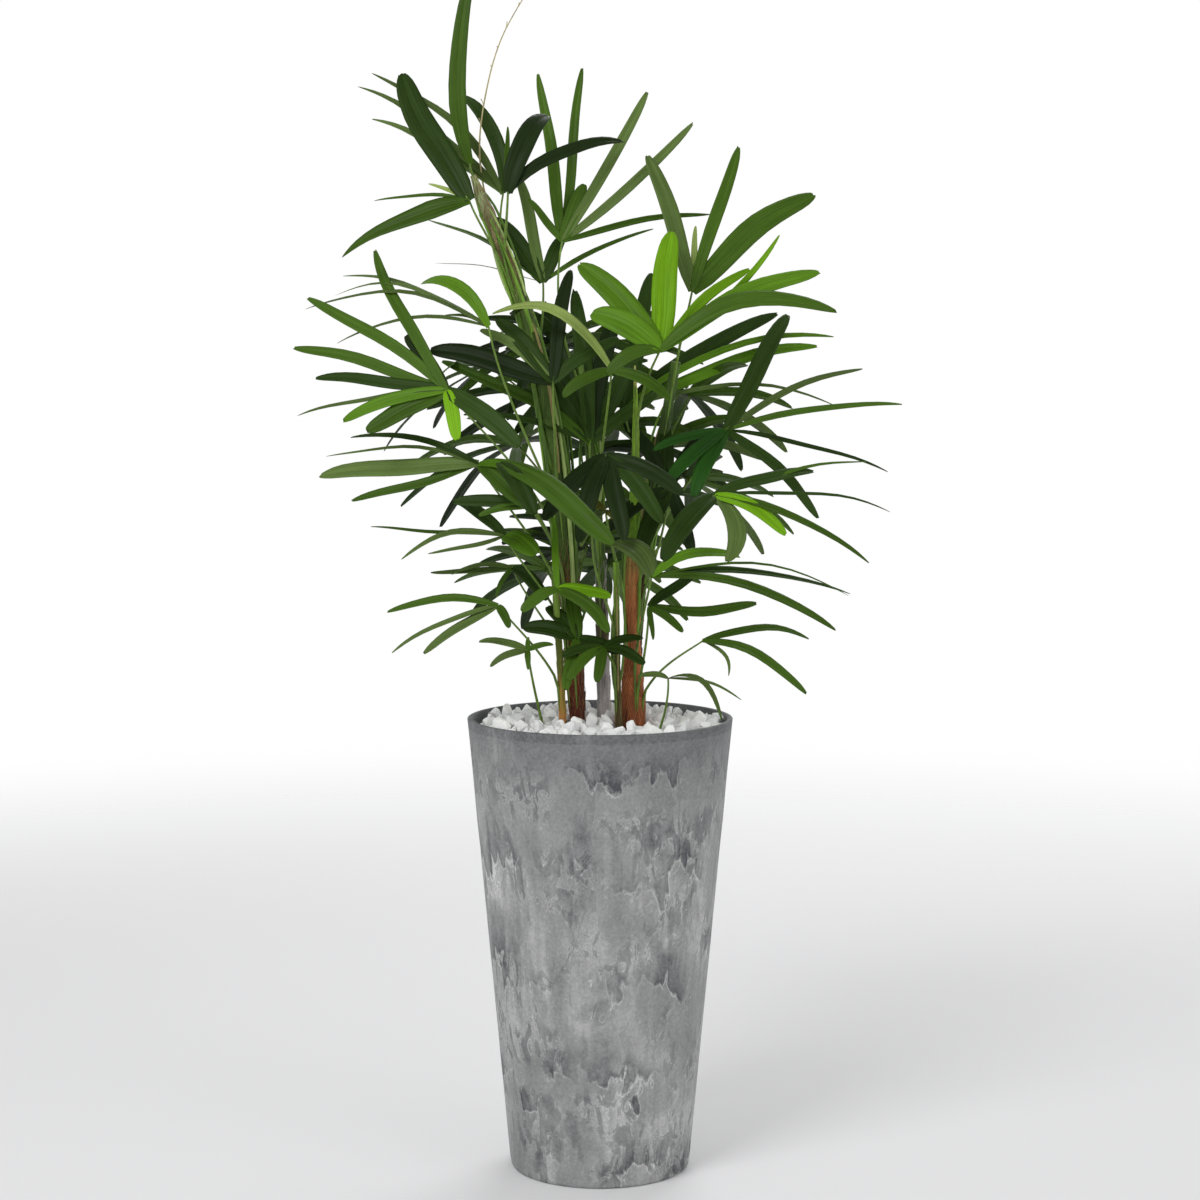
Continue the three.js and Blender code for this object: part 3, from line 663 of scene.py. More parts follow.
def makeSoil():
    material, tree, shader = finish("pottingMix", 0.95, 0.2)
    crumbs = noiseOf(tree, placeOf(tree), pottingMix["crumbs"], 6, 0.7)
    dark, light = srgb(*pottingMix["dark"]), srgb(*pottingMix["light"])
    colour = blendColour(tree, rangeOf(tree, crumbs, 0.35, 0.65), dark, light)
    tree.links.new(colour, shader.inputs["Base Color"])
    bump(tree, shader, crumbs, 0.9, pottingMix["relief"])
    frame["nodes"]["soil"].material_slots[0].material = material


makeSoil()


# canes

soilTop = 452
canes = {
    "right": {
        "line": [
            (35, -15, soilTop), (35, -15, 515), (35, -13, 568), (34, -10, 650), (37, -4, 738), (38, -8, 802),
            (37, -10, 866),
        ],
        "radii": [15.5, 13, 8.2, 7.8, 5, 3.4, 1],
        "bands": [
            (0.45, (122, 66, 38)), (0.54, (158, 92, 52)), (0.62, (188, 118, 70)), (0.66, (128, 122, 60)),
            (0.69, (104, 142, 36)), (0.84, (116, 150, 44)), (0.86, (190, 186, 110)),
        ],
        "fibres": (200, 132, 86), "wrapped": (0.45, 0.66),
    },
    "left": {
        "line": [
            (-22, 0, soilTop), (-30, 0, 570), (-37, 2, 660), (-50, 4, 780), (-74, 6, 900), (-108, 6, 1000),
            (-121, 4, 1030), (-134, 2, 1066),
        ],
        "radii": [7.5, 9, 10, 9, 9, 6.5, 8, 3],
        "bands": [
            (0.45, (92, 40, 24)), (0.56, (116, 58, 32)), (0.63, (88, 66, 30)), (0.67, (66, 90, 30)),
            (0.92, (72, 96, 38)), (0.96, (98, 94, 54)), (1.0, (116, 106, 68)), (1.03, (138, 144, 102)),
            (1.066, (146, 164, 112)),
        ],
        "fibres": (150, 112, 76), "wrapped": (0.45, 0.66, 0.95, 1.05),
    },
    "middle": {
        "line": [(5, 26, soilTop), (3, 28, 560), (-2, 30, 690), (-22, 28, 870)],
        "radii": [8, 7, 5.5, 4],
        "bands": [
            (0.45, (170, 165, 162)), (0.54, (186, 182, 180)), (0.57, (92, 80, 60)), (0.64, (62, 84, 30)),
            (0.87, (96, 124, 52)),
        ],
        "fibres": (200, 192, 194), "wrapped": (0.56, 0.62),
    },
    # the back and rear canes' darker browns and greens are partly their own colour and partly painted shade,
    # as they stand behind the others
    "back": {
        "line": [(36, 50, soilTop), (40, 56, 600), (60, 54, 740), (82, 40, 870)],
        "radii": [9, 8, 7, 5],
        "bands": [(0.45, (66, 42, 26)), (0.6, (78, 52, 32)), (0.68, (48, 62, 24)), (0.87, (70, 96, 38))],
        "fibres": (120, 86, 54), "wrapped": (0.45, 0.7),
    },
    "rear": {
        "line": [(-23, 66, soilTop), (-30, 80, 620), (-40, 95, 760), (-44, 104, 870)],
        "radii": [9, 8, 7, 5],
        "bands": [(0.45, (86, 52, 32)), (0.6, (92, 60, 38)), (0.7, (62, 72, 28)), (0.87, (78, 104, 42))],
        "fibres": (136, 96, 60), "wrapped": (0.45, 0.72),
    },
    "slim": {
        "line": [(-38, -22, soilTop), (-43, -24, 560), (-49, -30, 650)],
        "radii": [4, 3.6, 3],
        "bands": [
            (0.45, (176, 96, 56)), (0.5, (170, 116, 60)), (0.535, (112, 116, 44)), (0.65, (92, 124, 44)),
        ],
        "fibres": (196, 150, 92), "wrapped": (0.45, 0.5),
    },
    "young": {
        "line": [(21, -38, soilTop), (18, -38, 560), (17, -42, 660)],
        "radii": [3.6, 3.4, 3],
        "bands": [(0.45, (96, 74, 46)), (0.54, (80, 84, 36)), (0.66, (104, 138, 44))],
        "fibres": (140, 124, 80), "wrapped": (0.45, 0.52),
    },
}

caneDetail = {
    "rowGap": 1.5,  # mm between rings
    "columns": 64,  # half as many on a cane no thicker than this radius
    "slender": 5,
    "samples": 120,  # spots that its length is measured by
    "sheath": (20, 38),  # shortest and longest sheath
    "slant": (2, 5),  # mm that a sheath's mouth slants
    "ragged": 2.5,  # mm that its edge is torn up and down
    "flare": 0.13,  # how far a sheath stands off at its mouth, as a share of the radius
    "sunk": 0.45,  # and how much of that its foot lies deeper
    "weave": 0.24,  # depth of the woven fibres, mm
    "weaves": 1.1,  # fibres round a cane for each mm of radius
    "lean": 0.55,  # radians that they turn in each mm of height
    "rough": 0.5,
    "strands": 9,  # loose fibres each way round a sheath of a cane of 10 mm
    "strandHalf": 0.28,
    "strandPoints": 9,
    "strandTurn": (0.5, 1.1),  # radians that a loose fibre winds
    "overrun": (-0.1, 0.16),  # how far it runs past the mouth, as a share of the sheath
    "lift": 0.12,
    "stray": 6,  # how steeply it stands off past the mouth
    "shortest": 4,
    "blur": 0.02,  # m up and down that two colours of a cane run into each other
}


class Spline:  # a smooth line through points, bent the way the solids' source bends it
    def __init__(self, points):
        self.points = [np.array(p, float) for p in points]

    def at(self, t):
        p = self.points
        spot = min(max(t, 0), 1) * (len(p) - 1)
        i = min(int(spot), len(p) - 2)
        w = spot - i
        before = p[i - 1] if i > 0 else 2 * p[0] - p[1]
        after = p[i + 2] if i + 2 < len(p) else 2 * p[-1] - p[-2]
        here, there = p[i], p[i + 1]
        a, b, c = (np.linalg.norm(v) ** 0.5 for v in (here - before, there - here, after - there))
        leave = ((here - before) / a - (there - before) / (a + b) + (there - here) / b) * b
        reach = ((there - here) / b - (after - here) / (b + c) + (after - there) / c) * b
        square = -3 * here + 3 * there - 2 * leave - reach
        cube = 2 * here - 2 * there + leave + reach
        return here + leave * w + square * w * w + cube * w ** 3

    def along(self, t):
        low, high = max(0, t - 1e-4), min(1, t + 1e-4)
        return unit(self.at(high) - self.at(low))


for cane in canes.values():
    cane["spline"] = Spline(cane["line"])


def caneAt(name, height):  # a cane's middle line at a height: the point, the way it runs, and its radius
    spline = canes[name]["spline"]
    low, high = 0, 1
    for _ in range(30):
        t = (low + high) / 2
        if spline.at(t)[2] < height:
            low = t
        else:
            high = t
    return spline.at(low), spline.along(low), dealt(canes[name]["radii"], low)


def measureCane(name, turn):  # its length, and where the mouths of its sheaths are and how they slant
    cane = canes[name]
    roll = random.Random(40 + turn)
    samples = [cane["spline"].at(t) for t in np.linspace(0, 1, caneDetail["samples"])]
    lengths = np.concatenate([[0], np.cumsum(np.linalg.norm(np.diff(samples, axis=0), axis=1))])
    mouths = [0]
    while mouths[-1] < lengths[-1] + 50:
        mouths.append(mouths[-1] + roll.uniform(*caneDetail["sheath"]))
    slants = [(roll.uniform(*caneDetail["slant"]), roll.uniform(0, 2 * math.pi)) for _ in mouths]
    cane.update(turn=turn, lengths=lengths, total=lengths[-1], mouths=np.array(mouths), slants=slants)


def caneFrame(cane, run):  # the ring at a length along the cane: share, middle, two ways across, radius
    t = float(np.interp(run, cane["lengths"], np.linspace(0, 1, len(cane["lengths"]))))
    along = cane["spline"].along(t)
    side = unit(np.array([1.0, 0, 0]) - along * along[0])
    return t, cane["spline"].at(t), side, np.cross(along, side), dealt(cane["radii"], t)


def caneRelief(cane, angle, run, radius):  # how far the wrapped skin stands off at a spot
    d = caneDetail
    mouths = cane["mouths"]
    sheathAt = lambda at: int(np.clip(np.searchsorted(mouths, at) - 1, 0, len(mouths) - 2))
    unevenAt = lambda z: noise.noise(Vector((math.cos(angle) * 3, math.sin(angle) * 3, z)))
    k = sheathAt(run)
    tilt, way = cane["slants"][k]
    shifted = run + tilt * math.cos(angle - way) * 0.5 + unevenAt(k) * d["ragged"]
    k = sheathAt(shifted)
    share = (shifted - mouths[k]) / (mouths[k + 1] - mouths[k])
    stand = d["flare"] * radius * (share ** 2 - d["sunk"])
    turns = max(5, round(radius * d["weaves"]))
    weave = max(math.sin(turns * angle + run * d["lean"]), math.sin(turns * angle - run * d["lean"]))
    rough = unevenAt(run * 0.05 + cane["turn"] * 7) * d["rough"]
    return (stand + weave * d["weave"] + rough) * min(1, radius / d["slender"])


barkFinish = {
    "roughness": 0.75,
    "shares": (0.5, 0.2, 0.3),  # what streaks, patches and broad streaks add to the tone
    "tones": (0.36, 0.64),
    "strength": (0.3, 1.6),  # what the band's colour is multiplied by at these tones
    "relief": 0.0006,
}


def caneMaterial(name):
    f = barkFinish
    bands = canes[name]["bands"]
    material, tree, shader = finish("fibrousBark_" + name, f["roughness"])
    place = placeOf(tree)
    streaks = noiseOf(tree, scaled(tree, place, (150, 150, 9)), 2.4, 6, 0.65)
    broad = noiseOf(tree, scaled(tree, place, (60, 60, 4)), 2, 3, 0.6)
    patches = noiseOf(tree, scaled(tree, place, (1, 1, 0.5)), 55, 4, 0.6)
    low, high = bands[0][0], bands[-1][0]
    blur = rangeOf(tree, patches, 0.3, 0.7, -caneDetail["blur"], caneDetail["blur"])
    level = rangeOf(tree, calc(tree, "ADD", heightOf(tree, place), blur), low, high)
    ramp = addNode(tree, "ShaderNodeValToRGB", {0: level})
    stops = ramp.color_ramp.elements
    for spot, (height, tint) in enumerate(bands):
        share = (height - low) / (high - low)
        stop = stops[spot] if spot < 2 else stops.new(share)
        stop.position = share
        stop.color = srgb(*tint)
    tone = weighed(tree, zip((streaks, patches, broad), f["shares"]))
    strength = rangeOf(tree, tone, *f["tones"], *f["strength"])
    colour = blendColour(tree, 1.0, ramp.outputs[0], strength, "MULTIPLY")
    tree.links.new(colour, shader.inputs["Base Color"])
    bump(tree, shader, streaks, 0.8, f["relief"])
    return material


def makeCane(name):
    cane = canes[name]
    rows = int(cane["total"] / caneDetail["rowGap"])
    columns = caneDetail["columns"]
    if max(cane["radii"]) <= caneDetail["slender"]:
        columns //= 2
    verts, faces = [], []
    for i in range(rows + 1):
        run = cane["total"] * i / rows
        _, middle, side, rise, radius = caneFrame(cane, run)
        for k in range(columns):
            a = 2 * math.pi * k / columns
            r = radius + caneRelief(cane, a, run, radius)
            verts.append((middle + (side * math.cos(a) + rise * math.sin(a)) * r) * mm)
    for low in range(0, rows * columns, columns):
        for k in range(columns):
            n = (k + 1) % columns
            faces.append((low + k, low + n, low + columns + n, low + columns + k))
    faces.append(tuple(range(columns))[::-1])
    faces.append(tuple(rows * columns + k for k in range(columns)))
    mesh = bpy.data.meshes.new("cane_" + name + "_bark")
    mesh.from_pydata([tuple(v) for v in verts], [], faces)
    mesh.shade_smooth()
    mesh.materials.append(caneMaterial(name))
    settle(newPiece("cane_" + name + "_bark", mesh), "cane", "cane_" + name)


def strandThread(cane, k, start, swing, overrun, roll):  # one loose fibre of the sheath between two mouths
    d = caneDetail
    low, high = cane["mouths"][k:k + 2]
    points, facings = [], []
    for share in np.arange(d["strandPoints"]) / (d["strandPoints"] - 1) * (1 + overrun):
        run = min(cane["total"] - 0.5, low + (high - low) * share)
        t, middle, side, rise, radius = caneFrame(cane, run)
        a = start + swing * share
        r = radius + caneRelief(cane, a, min(run, high - 1.5), radius) + d["lift"]
        outward = side * math.cos(a) + rise * math.sin(a)
        points.append(middle + outward * (r + max(0, share - 1) * d["stray"]))
        facings.append(np.cross(outward, cane["spline"].along(t)))
    if np.linalg.norm(points[-1] - points[0]) > d["shortest"]:
        half = d["strandHalf"] * np.linspace(1, 0.45, d["strandPoints"])
        return [thread(points, np.array(facings), half, roll.random())]
    return []


def caneStrands(cane):
    d = caneDetail
    roll = random.Random(90 + cane["turn"])
    count = max(4, round(d["strands"] * max(cane["radii"]) / 10))
    threads = []
    for k, mouth in enumerate(cane["mouths"][:-1]):
        if mouth > cane["total"] - 8:
            break
        foot = caneFrame(cane, mouth)[1]
        if sum(level <= foot[2] * mm for level in cane["wrapped"]) % 2 == 0:
            continue  # between the wrapped stretches the cane is bare
        for way in (-1, 1):
            for s in range(count):
                start = 2 * math.pi * (s + roll.random() * 0.7) / count
                swing = way * roll.uniform(*d["strandTurn"])
                threads += strandThread(cane, k, start, swing, roll.uniform(*d["overrun"]), roll)
    return threads


print("canes")
stems = stemTree()
for turn, (name, cane) in enumerate(canes.items()):
    measureCane(name, turn)
    makeCane(name)
    piece = grown("cane_" + name + "_fibres", threadMesh("fibres", caneStrands(cane)), stems, {
        "Sides": 3, "Groove": 0.0,
        "Finish": stemMaterial("sheathFibre_" + name, cane["fibres"], roughness=0.85),
    })
    settle(piece, "cane")


# petioles: leaf feet that stay pressed to a cane for a way, and bow out from it in between

petioles = [  # from and to are the heights between which they start and end, out is how far they bow
    {"cane": "left", "count": 12, "from": (600, 760), "to": (850, 965), "out": (1.5, 7), "half": (1.5, 2.4)},
    {"cane": "left", "count": 9, "from": (880, 950), "to": (1000, 1062), "out": (1, 5), "half": (1.3, 2.1)},
    {"cane": "middle", "count": 9, "from": (640, 720), "to": (790, 862), "out": (3, 12), "half": (1.1, 1.8)},
    {"cane": "back", "count": 6, "from": (620, 700), "to": (760, 860), "out": (2, 8), "half": (1.2, 1.8)},
    {"cane": "rear", "count": 6, "from": (620, 720), "to": (760, 860), "out": (2, 8), "half": (1.2, 1.8)},
    {"cane": "right", "count": 5, "from": (560, 600), "to": (680, 760), "out": (1, 4), "half": (1.0, 1.5)},
    {"cane": "young", "count": 4, "from": (500, 540), "to": (600, 655), "out": (2, 7), "half": (0.9, 1.4)},
]
petioleTints = {  # each one's colour, and its share of the petioles
    "pale": ((148, 170, 98), 3),
    "fresh": ((100, 138, 42), 4),
    "green": ((74, 104, 30), 4),
    "straw": ((146, 132, 82), 1),
}
petioleDetail = {
    "points": 12,
    "uneven": 0.6,  # how unevenly they stand round a cane
    "swing": 0.7,  # radians that they turn round it at most
    "sunk": 1,  # mm that their ends lie in it
    "belly": 0.6,  # lower is fuller
    "taper": (1.15, 0.8),
    "sides": 8,
    "groove": 0.4,
}


def petioleThreads():
    d = petioleDetail
    roll = random.Random(23)
    shares = [share for _, share in petioleTints.values()]
    threads = {tint: [] for tint in petioleTints}
    for group in petioles:
        for i in range(group["count"]):
            bearing = 2 * math.pi * (i + roll.random() * d["uneven"]) / group["count"]
            low, high = roll.uniform(*group["from"]), roll.uniform(*group["to"])
            out, swing = roll.uniform(*group["out"]), roll.uniform(-d["swing"], d["swing"])
            points = []
            for share in np.linspace(0, 1, d["points"]):
                middle, along, radius = caneAt(group["cane"], mix(low, high, share))
                a = bearing + swing * share
                side = unit(np.array([1.0, 0, 0]) - along * along[0])
                outward = side * math.cos(a) + np.cross(along, side) * math.sin(a)
                bow = (out + d["sunk"]) * math.sin(math.pi * share) ** d["belly"]
                points.append(middle + outward * (radius - d["sunk"] + bow))
            half = roll.uniform(*group["half"]) * np.linspace(*d["taper"], d["points"])
            tint = roll.choices(list(petioleTints), shares)[0]
            threads[tint].append(thread(points, outward, half, roll.random()))
    return threads


for tint, threads in petioleThreads().items():
    piece = grown("petioles_" + tint, threadMesh("petioles", threads), stems, {
        "Sides": petioleDetail["sides"], "Groove": petioleDetail["groove"],
        "Finish": stemMaterial("petiole_" + tint, petioleTints[tint][0]),
    })
    settle(piece, "leaf")


# chippings

chippings = {
    "soil": 452.5, "level": 488,  # heights of what they lie on and of their top at the rim
    "crown": 4,  # how much higher they lie in the middle
    "rimRoom": 0.8,
    "radii": (6.6, 10.4),
    "nesting": 0.75,  # how closely two stones sit, as a share of their radii
    "caneRoom": 0.8, "wallRoom": 0.9, "soilRoom": 0.7, "proud": 0.2,  # the same for what else they touch
    "canesAt": (470, 0.05),  # where the canes pass through them, as a height and as a share of a cane
    "stones": 700,
    "tries": 30,
    "seed": 7,
}

stoneShape = {
    "shapes": 14,
    "corners": 15,
    "stretch": [(1.0, 1.3), (0.8, 1.0), (0.66, 0.9)],  # least and most, along, across and up
    "flattest": 16,  # degrees: edges flatter than this are dissolved
    "bevel": 0.06,
}


def insideRadius(height):
    p = planter
    return (mix(p["footRadius"], p["rimRadius"], height * mm / p["height"]) - p["wall"]) / mm


def pileStones():  # drops round stones one by one, each into the lowest of a few spots
    c = chippings
    roll = np.random.default_rng(c["seed"])
    height, share = c["canesAt"]
    feet = [(caneAt(name, height)[0][:2], dealt(cane["radii"], share)) for name, cane in canes.items()]
    spots = np.zeros((0, 3))
    radii = np.zeros(0)
    for _ in range(c["stones"]):
        r = roll.uniform(*c["radii"])
        limit = insideRadius(c["level"]) - c["rimRoom"] - r * c["wallRoom"]
        away = limit * np.sqrt(roll.random(c["tries"]))
        turn = roll.random(c["tries"]) * 2 * math.pi
        best = None
        for x, y in zip(away * np.cos(turn), away * np.sin(turn)):
            if any(math.hypot(x - m[0], y - m[1]) < radius + r * c["caneRoom"] for m, radius in feet):
                continue
            z = c["soil"] + r * c["soilRoom"]
            reach = (radii + r) * c["nesting"]
            flat = (spots[:, 0] - x) ** 2 + (spots[:, 1] - y) ** 2
            near = flat < reach ** 2
            if near.any():
                z = max(z, (spots[near, 2] + np.sqrt(reach[near] ** 2 - flat[near])).max())
            top = c["level"] + c["crown"] * (1 - math.hypot(x, y) / limit) - r * c["proud"]
            if z < top and (best is None or z < best[2]):
                best = (x, y, z)
        if best:
            spots = np.vstack([spots, best])
            radii = np.append(radii, r)
    return spots, radii


def stoneShapes():
    s = stoneShape
    roll = random.Random(chippings["seed"])
    shapes = bpy.data.collections.new("stoneShapes")
    bpy.context.scene.collection.children.link(shapes)
    for i in range(s["shapes"]):
        shape = bmesh.new()
        stretch = [roll.uniform(*limits) for limits in s["stretch"]]
        for _ in range(s["corners"]):
            way = Vector([roll.gauss(0, 1) for _ in range(3)]).normalized()
            shape.verts.new([way[k] * stretch[k] for k in range(3)])
        hull = bmesh.ops.convex_hull(shape, input=shape.verts)
        bmesh.ops.delete(shape, geom=hull["geom_interior"], context="VERTS")
        flattest = math.radians(s["flattest"])
        bmesh.ops.dissolve_limit(shape, angle_limit=flattest, verts=shape.verts, edges=shape.edges)
        bmesh.ops.bevel(shape, geom=shape.edges, offset=s["bevel"], segments=1, affect="EDGES")
        bmesh.ops.recalc_face_normals(shape, faces=shape.faces)
        mesh = bpy.data.meshes.new(f"stone{i:02d}")
        shape.to_mesh(mesh)
        shape.free()
        shapes.objects.link(bpy.data.objects.new(f"stone{i:02d}", mesh))
    return shapes


def stoneTree():
    tree, sizes = newTree("stones", {"Shapes": "Collection", "Finish": "Material"})
    shapes = addNode(tree, "GeometryNodeCollectionInfo", {
        "Collection": sizes["Shapes"], "Separate Children": True, "Reset Children": True,
    }).outputs[0]
    turn = addNode(tree, "FunctionNodeEulerToRotation", {0: named(tree, "turn", "FLOAT_VECTOR")}).outputs[0]
    placed = addNode(tree, "GeometryNodeInstanceOnPoints", {
        "Points": sizes["Geometry"], "Instance": shapes, "Pick Instance": True,
        "Instance Index": named(tree, "shape", "INT"), "Rotation": turn, "Scale": named(tree, "size"),
    }).outputs[0]
    return endTree(tree, placed, sizes["Finish"])


marble = {
    "roughness": 0.7, "gloss": 0.35,
    "dark": (222, 223, 225), "light": (254, 254, 252),
    "shares": (0.7, 0.38),  # what veins and the stone's own lot add to the tone
    "tones": (0.26, 0.66),
    "dust": 0.4,
    "relief": 0.0007,
}


def marbleMaterial():
    m = marble
    material, tree, shader = finish("crushedMarble", m["roughness"], m["gloss"])
    place = placeOf(tree)
    veins = noiseOf(tree, place, 90, 5, 0.65, 0.9)
    dust = noiseOf(tree, place, 700, 3, 0.6)
    tone = weighed(tree, zip((veins, attributeOf(tree, "lot")), m["shares"]))
    colour = blendColour(tree, rangeOf(tree, tone, *m["tones"]), srgb(*m["dark"]), srgb(*m["light"]))
    tree.links.new(colour, shader.inputs["Base Color"])
    bump(tree, shader, addTo(tree, veins, dust, m["dust"]), 0.5, m["relief"])
    return material


def makeChippings():
    spots, radii = pileStones()
    roll = np.random.default_rng(chippings["seed"] + 1)
    mesh = bpy.data.meshes.new("stoneSpots")
    mesh.from_pydata((spots * mm).tolist(), [], [])
    newColumns(mesh, {
        "size": ("FLOAT", radii * mm),
        "lot": ("FLOAT", roll.random(len(radii))),
        "shape": ("INT", roll.integers(0, stoneShape["shapes"], len(radii))),
        "turn": ("FLOAT_VECTOR", roll.random((len(radii), 3)) * 2 * math.pi),
    })
    shapes = stoneShapes()
    piece = grown("marble_chippings", mesh, stoneTree(), {"Shapes": shapes, "Finish": marbleMaterial()})
    for stone in list(shapes.objects):
        bpy.data.objects.remove(stone)
    bpy.data.collections.remove(shapes)
    settle(piece, "marble", "chippings")


makeChippings()


# leaves: the solids' own rule, with finer leaflets

# from: the cane and the height at which the stalk leaves it. hub: where the leaflets meet.
# faces: bearing and tilt of the upper side. rays: each leaflet's angle in the leaf's plane.
# reach, wide and arch (a share of the reach) are dealt out evenly from the first leaflet to the last.
# bow (a bend sideways), twist (degrees) and taper (0 blunt, 1 pointed) are for leaflets that stand out.
# tints: a letter for each leaflet.

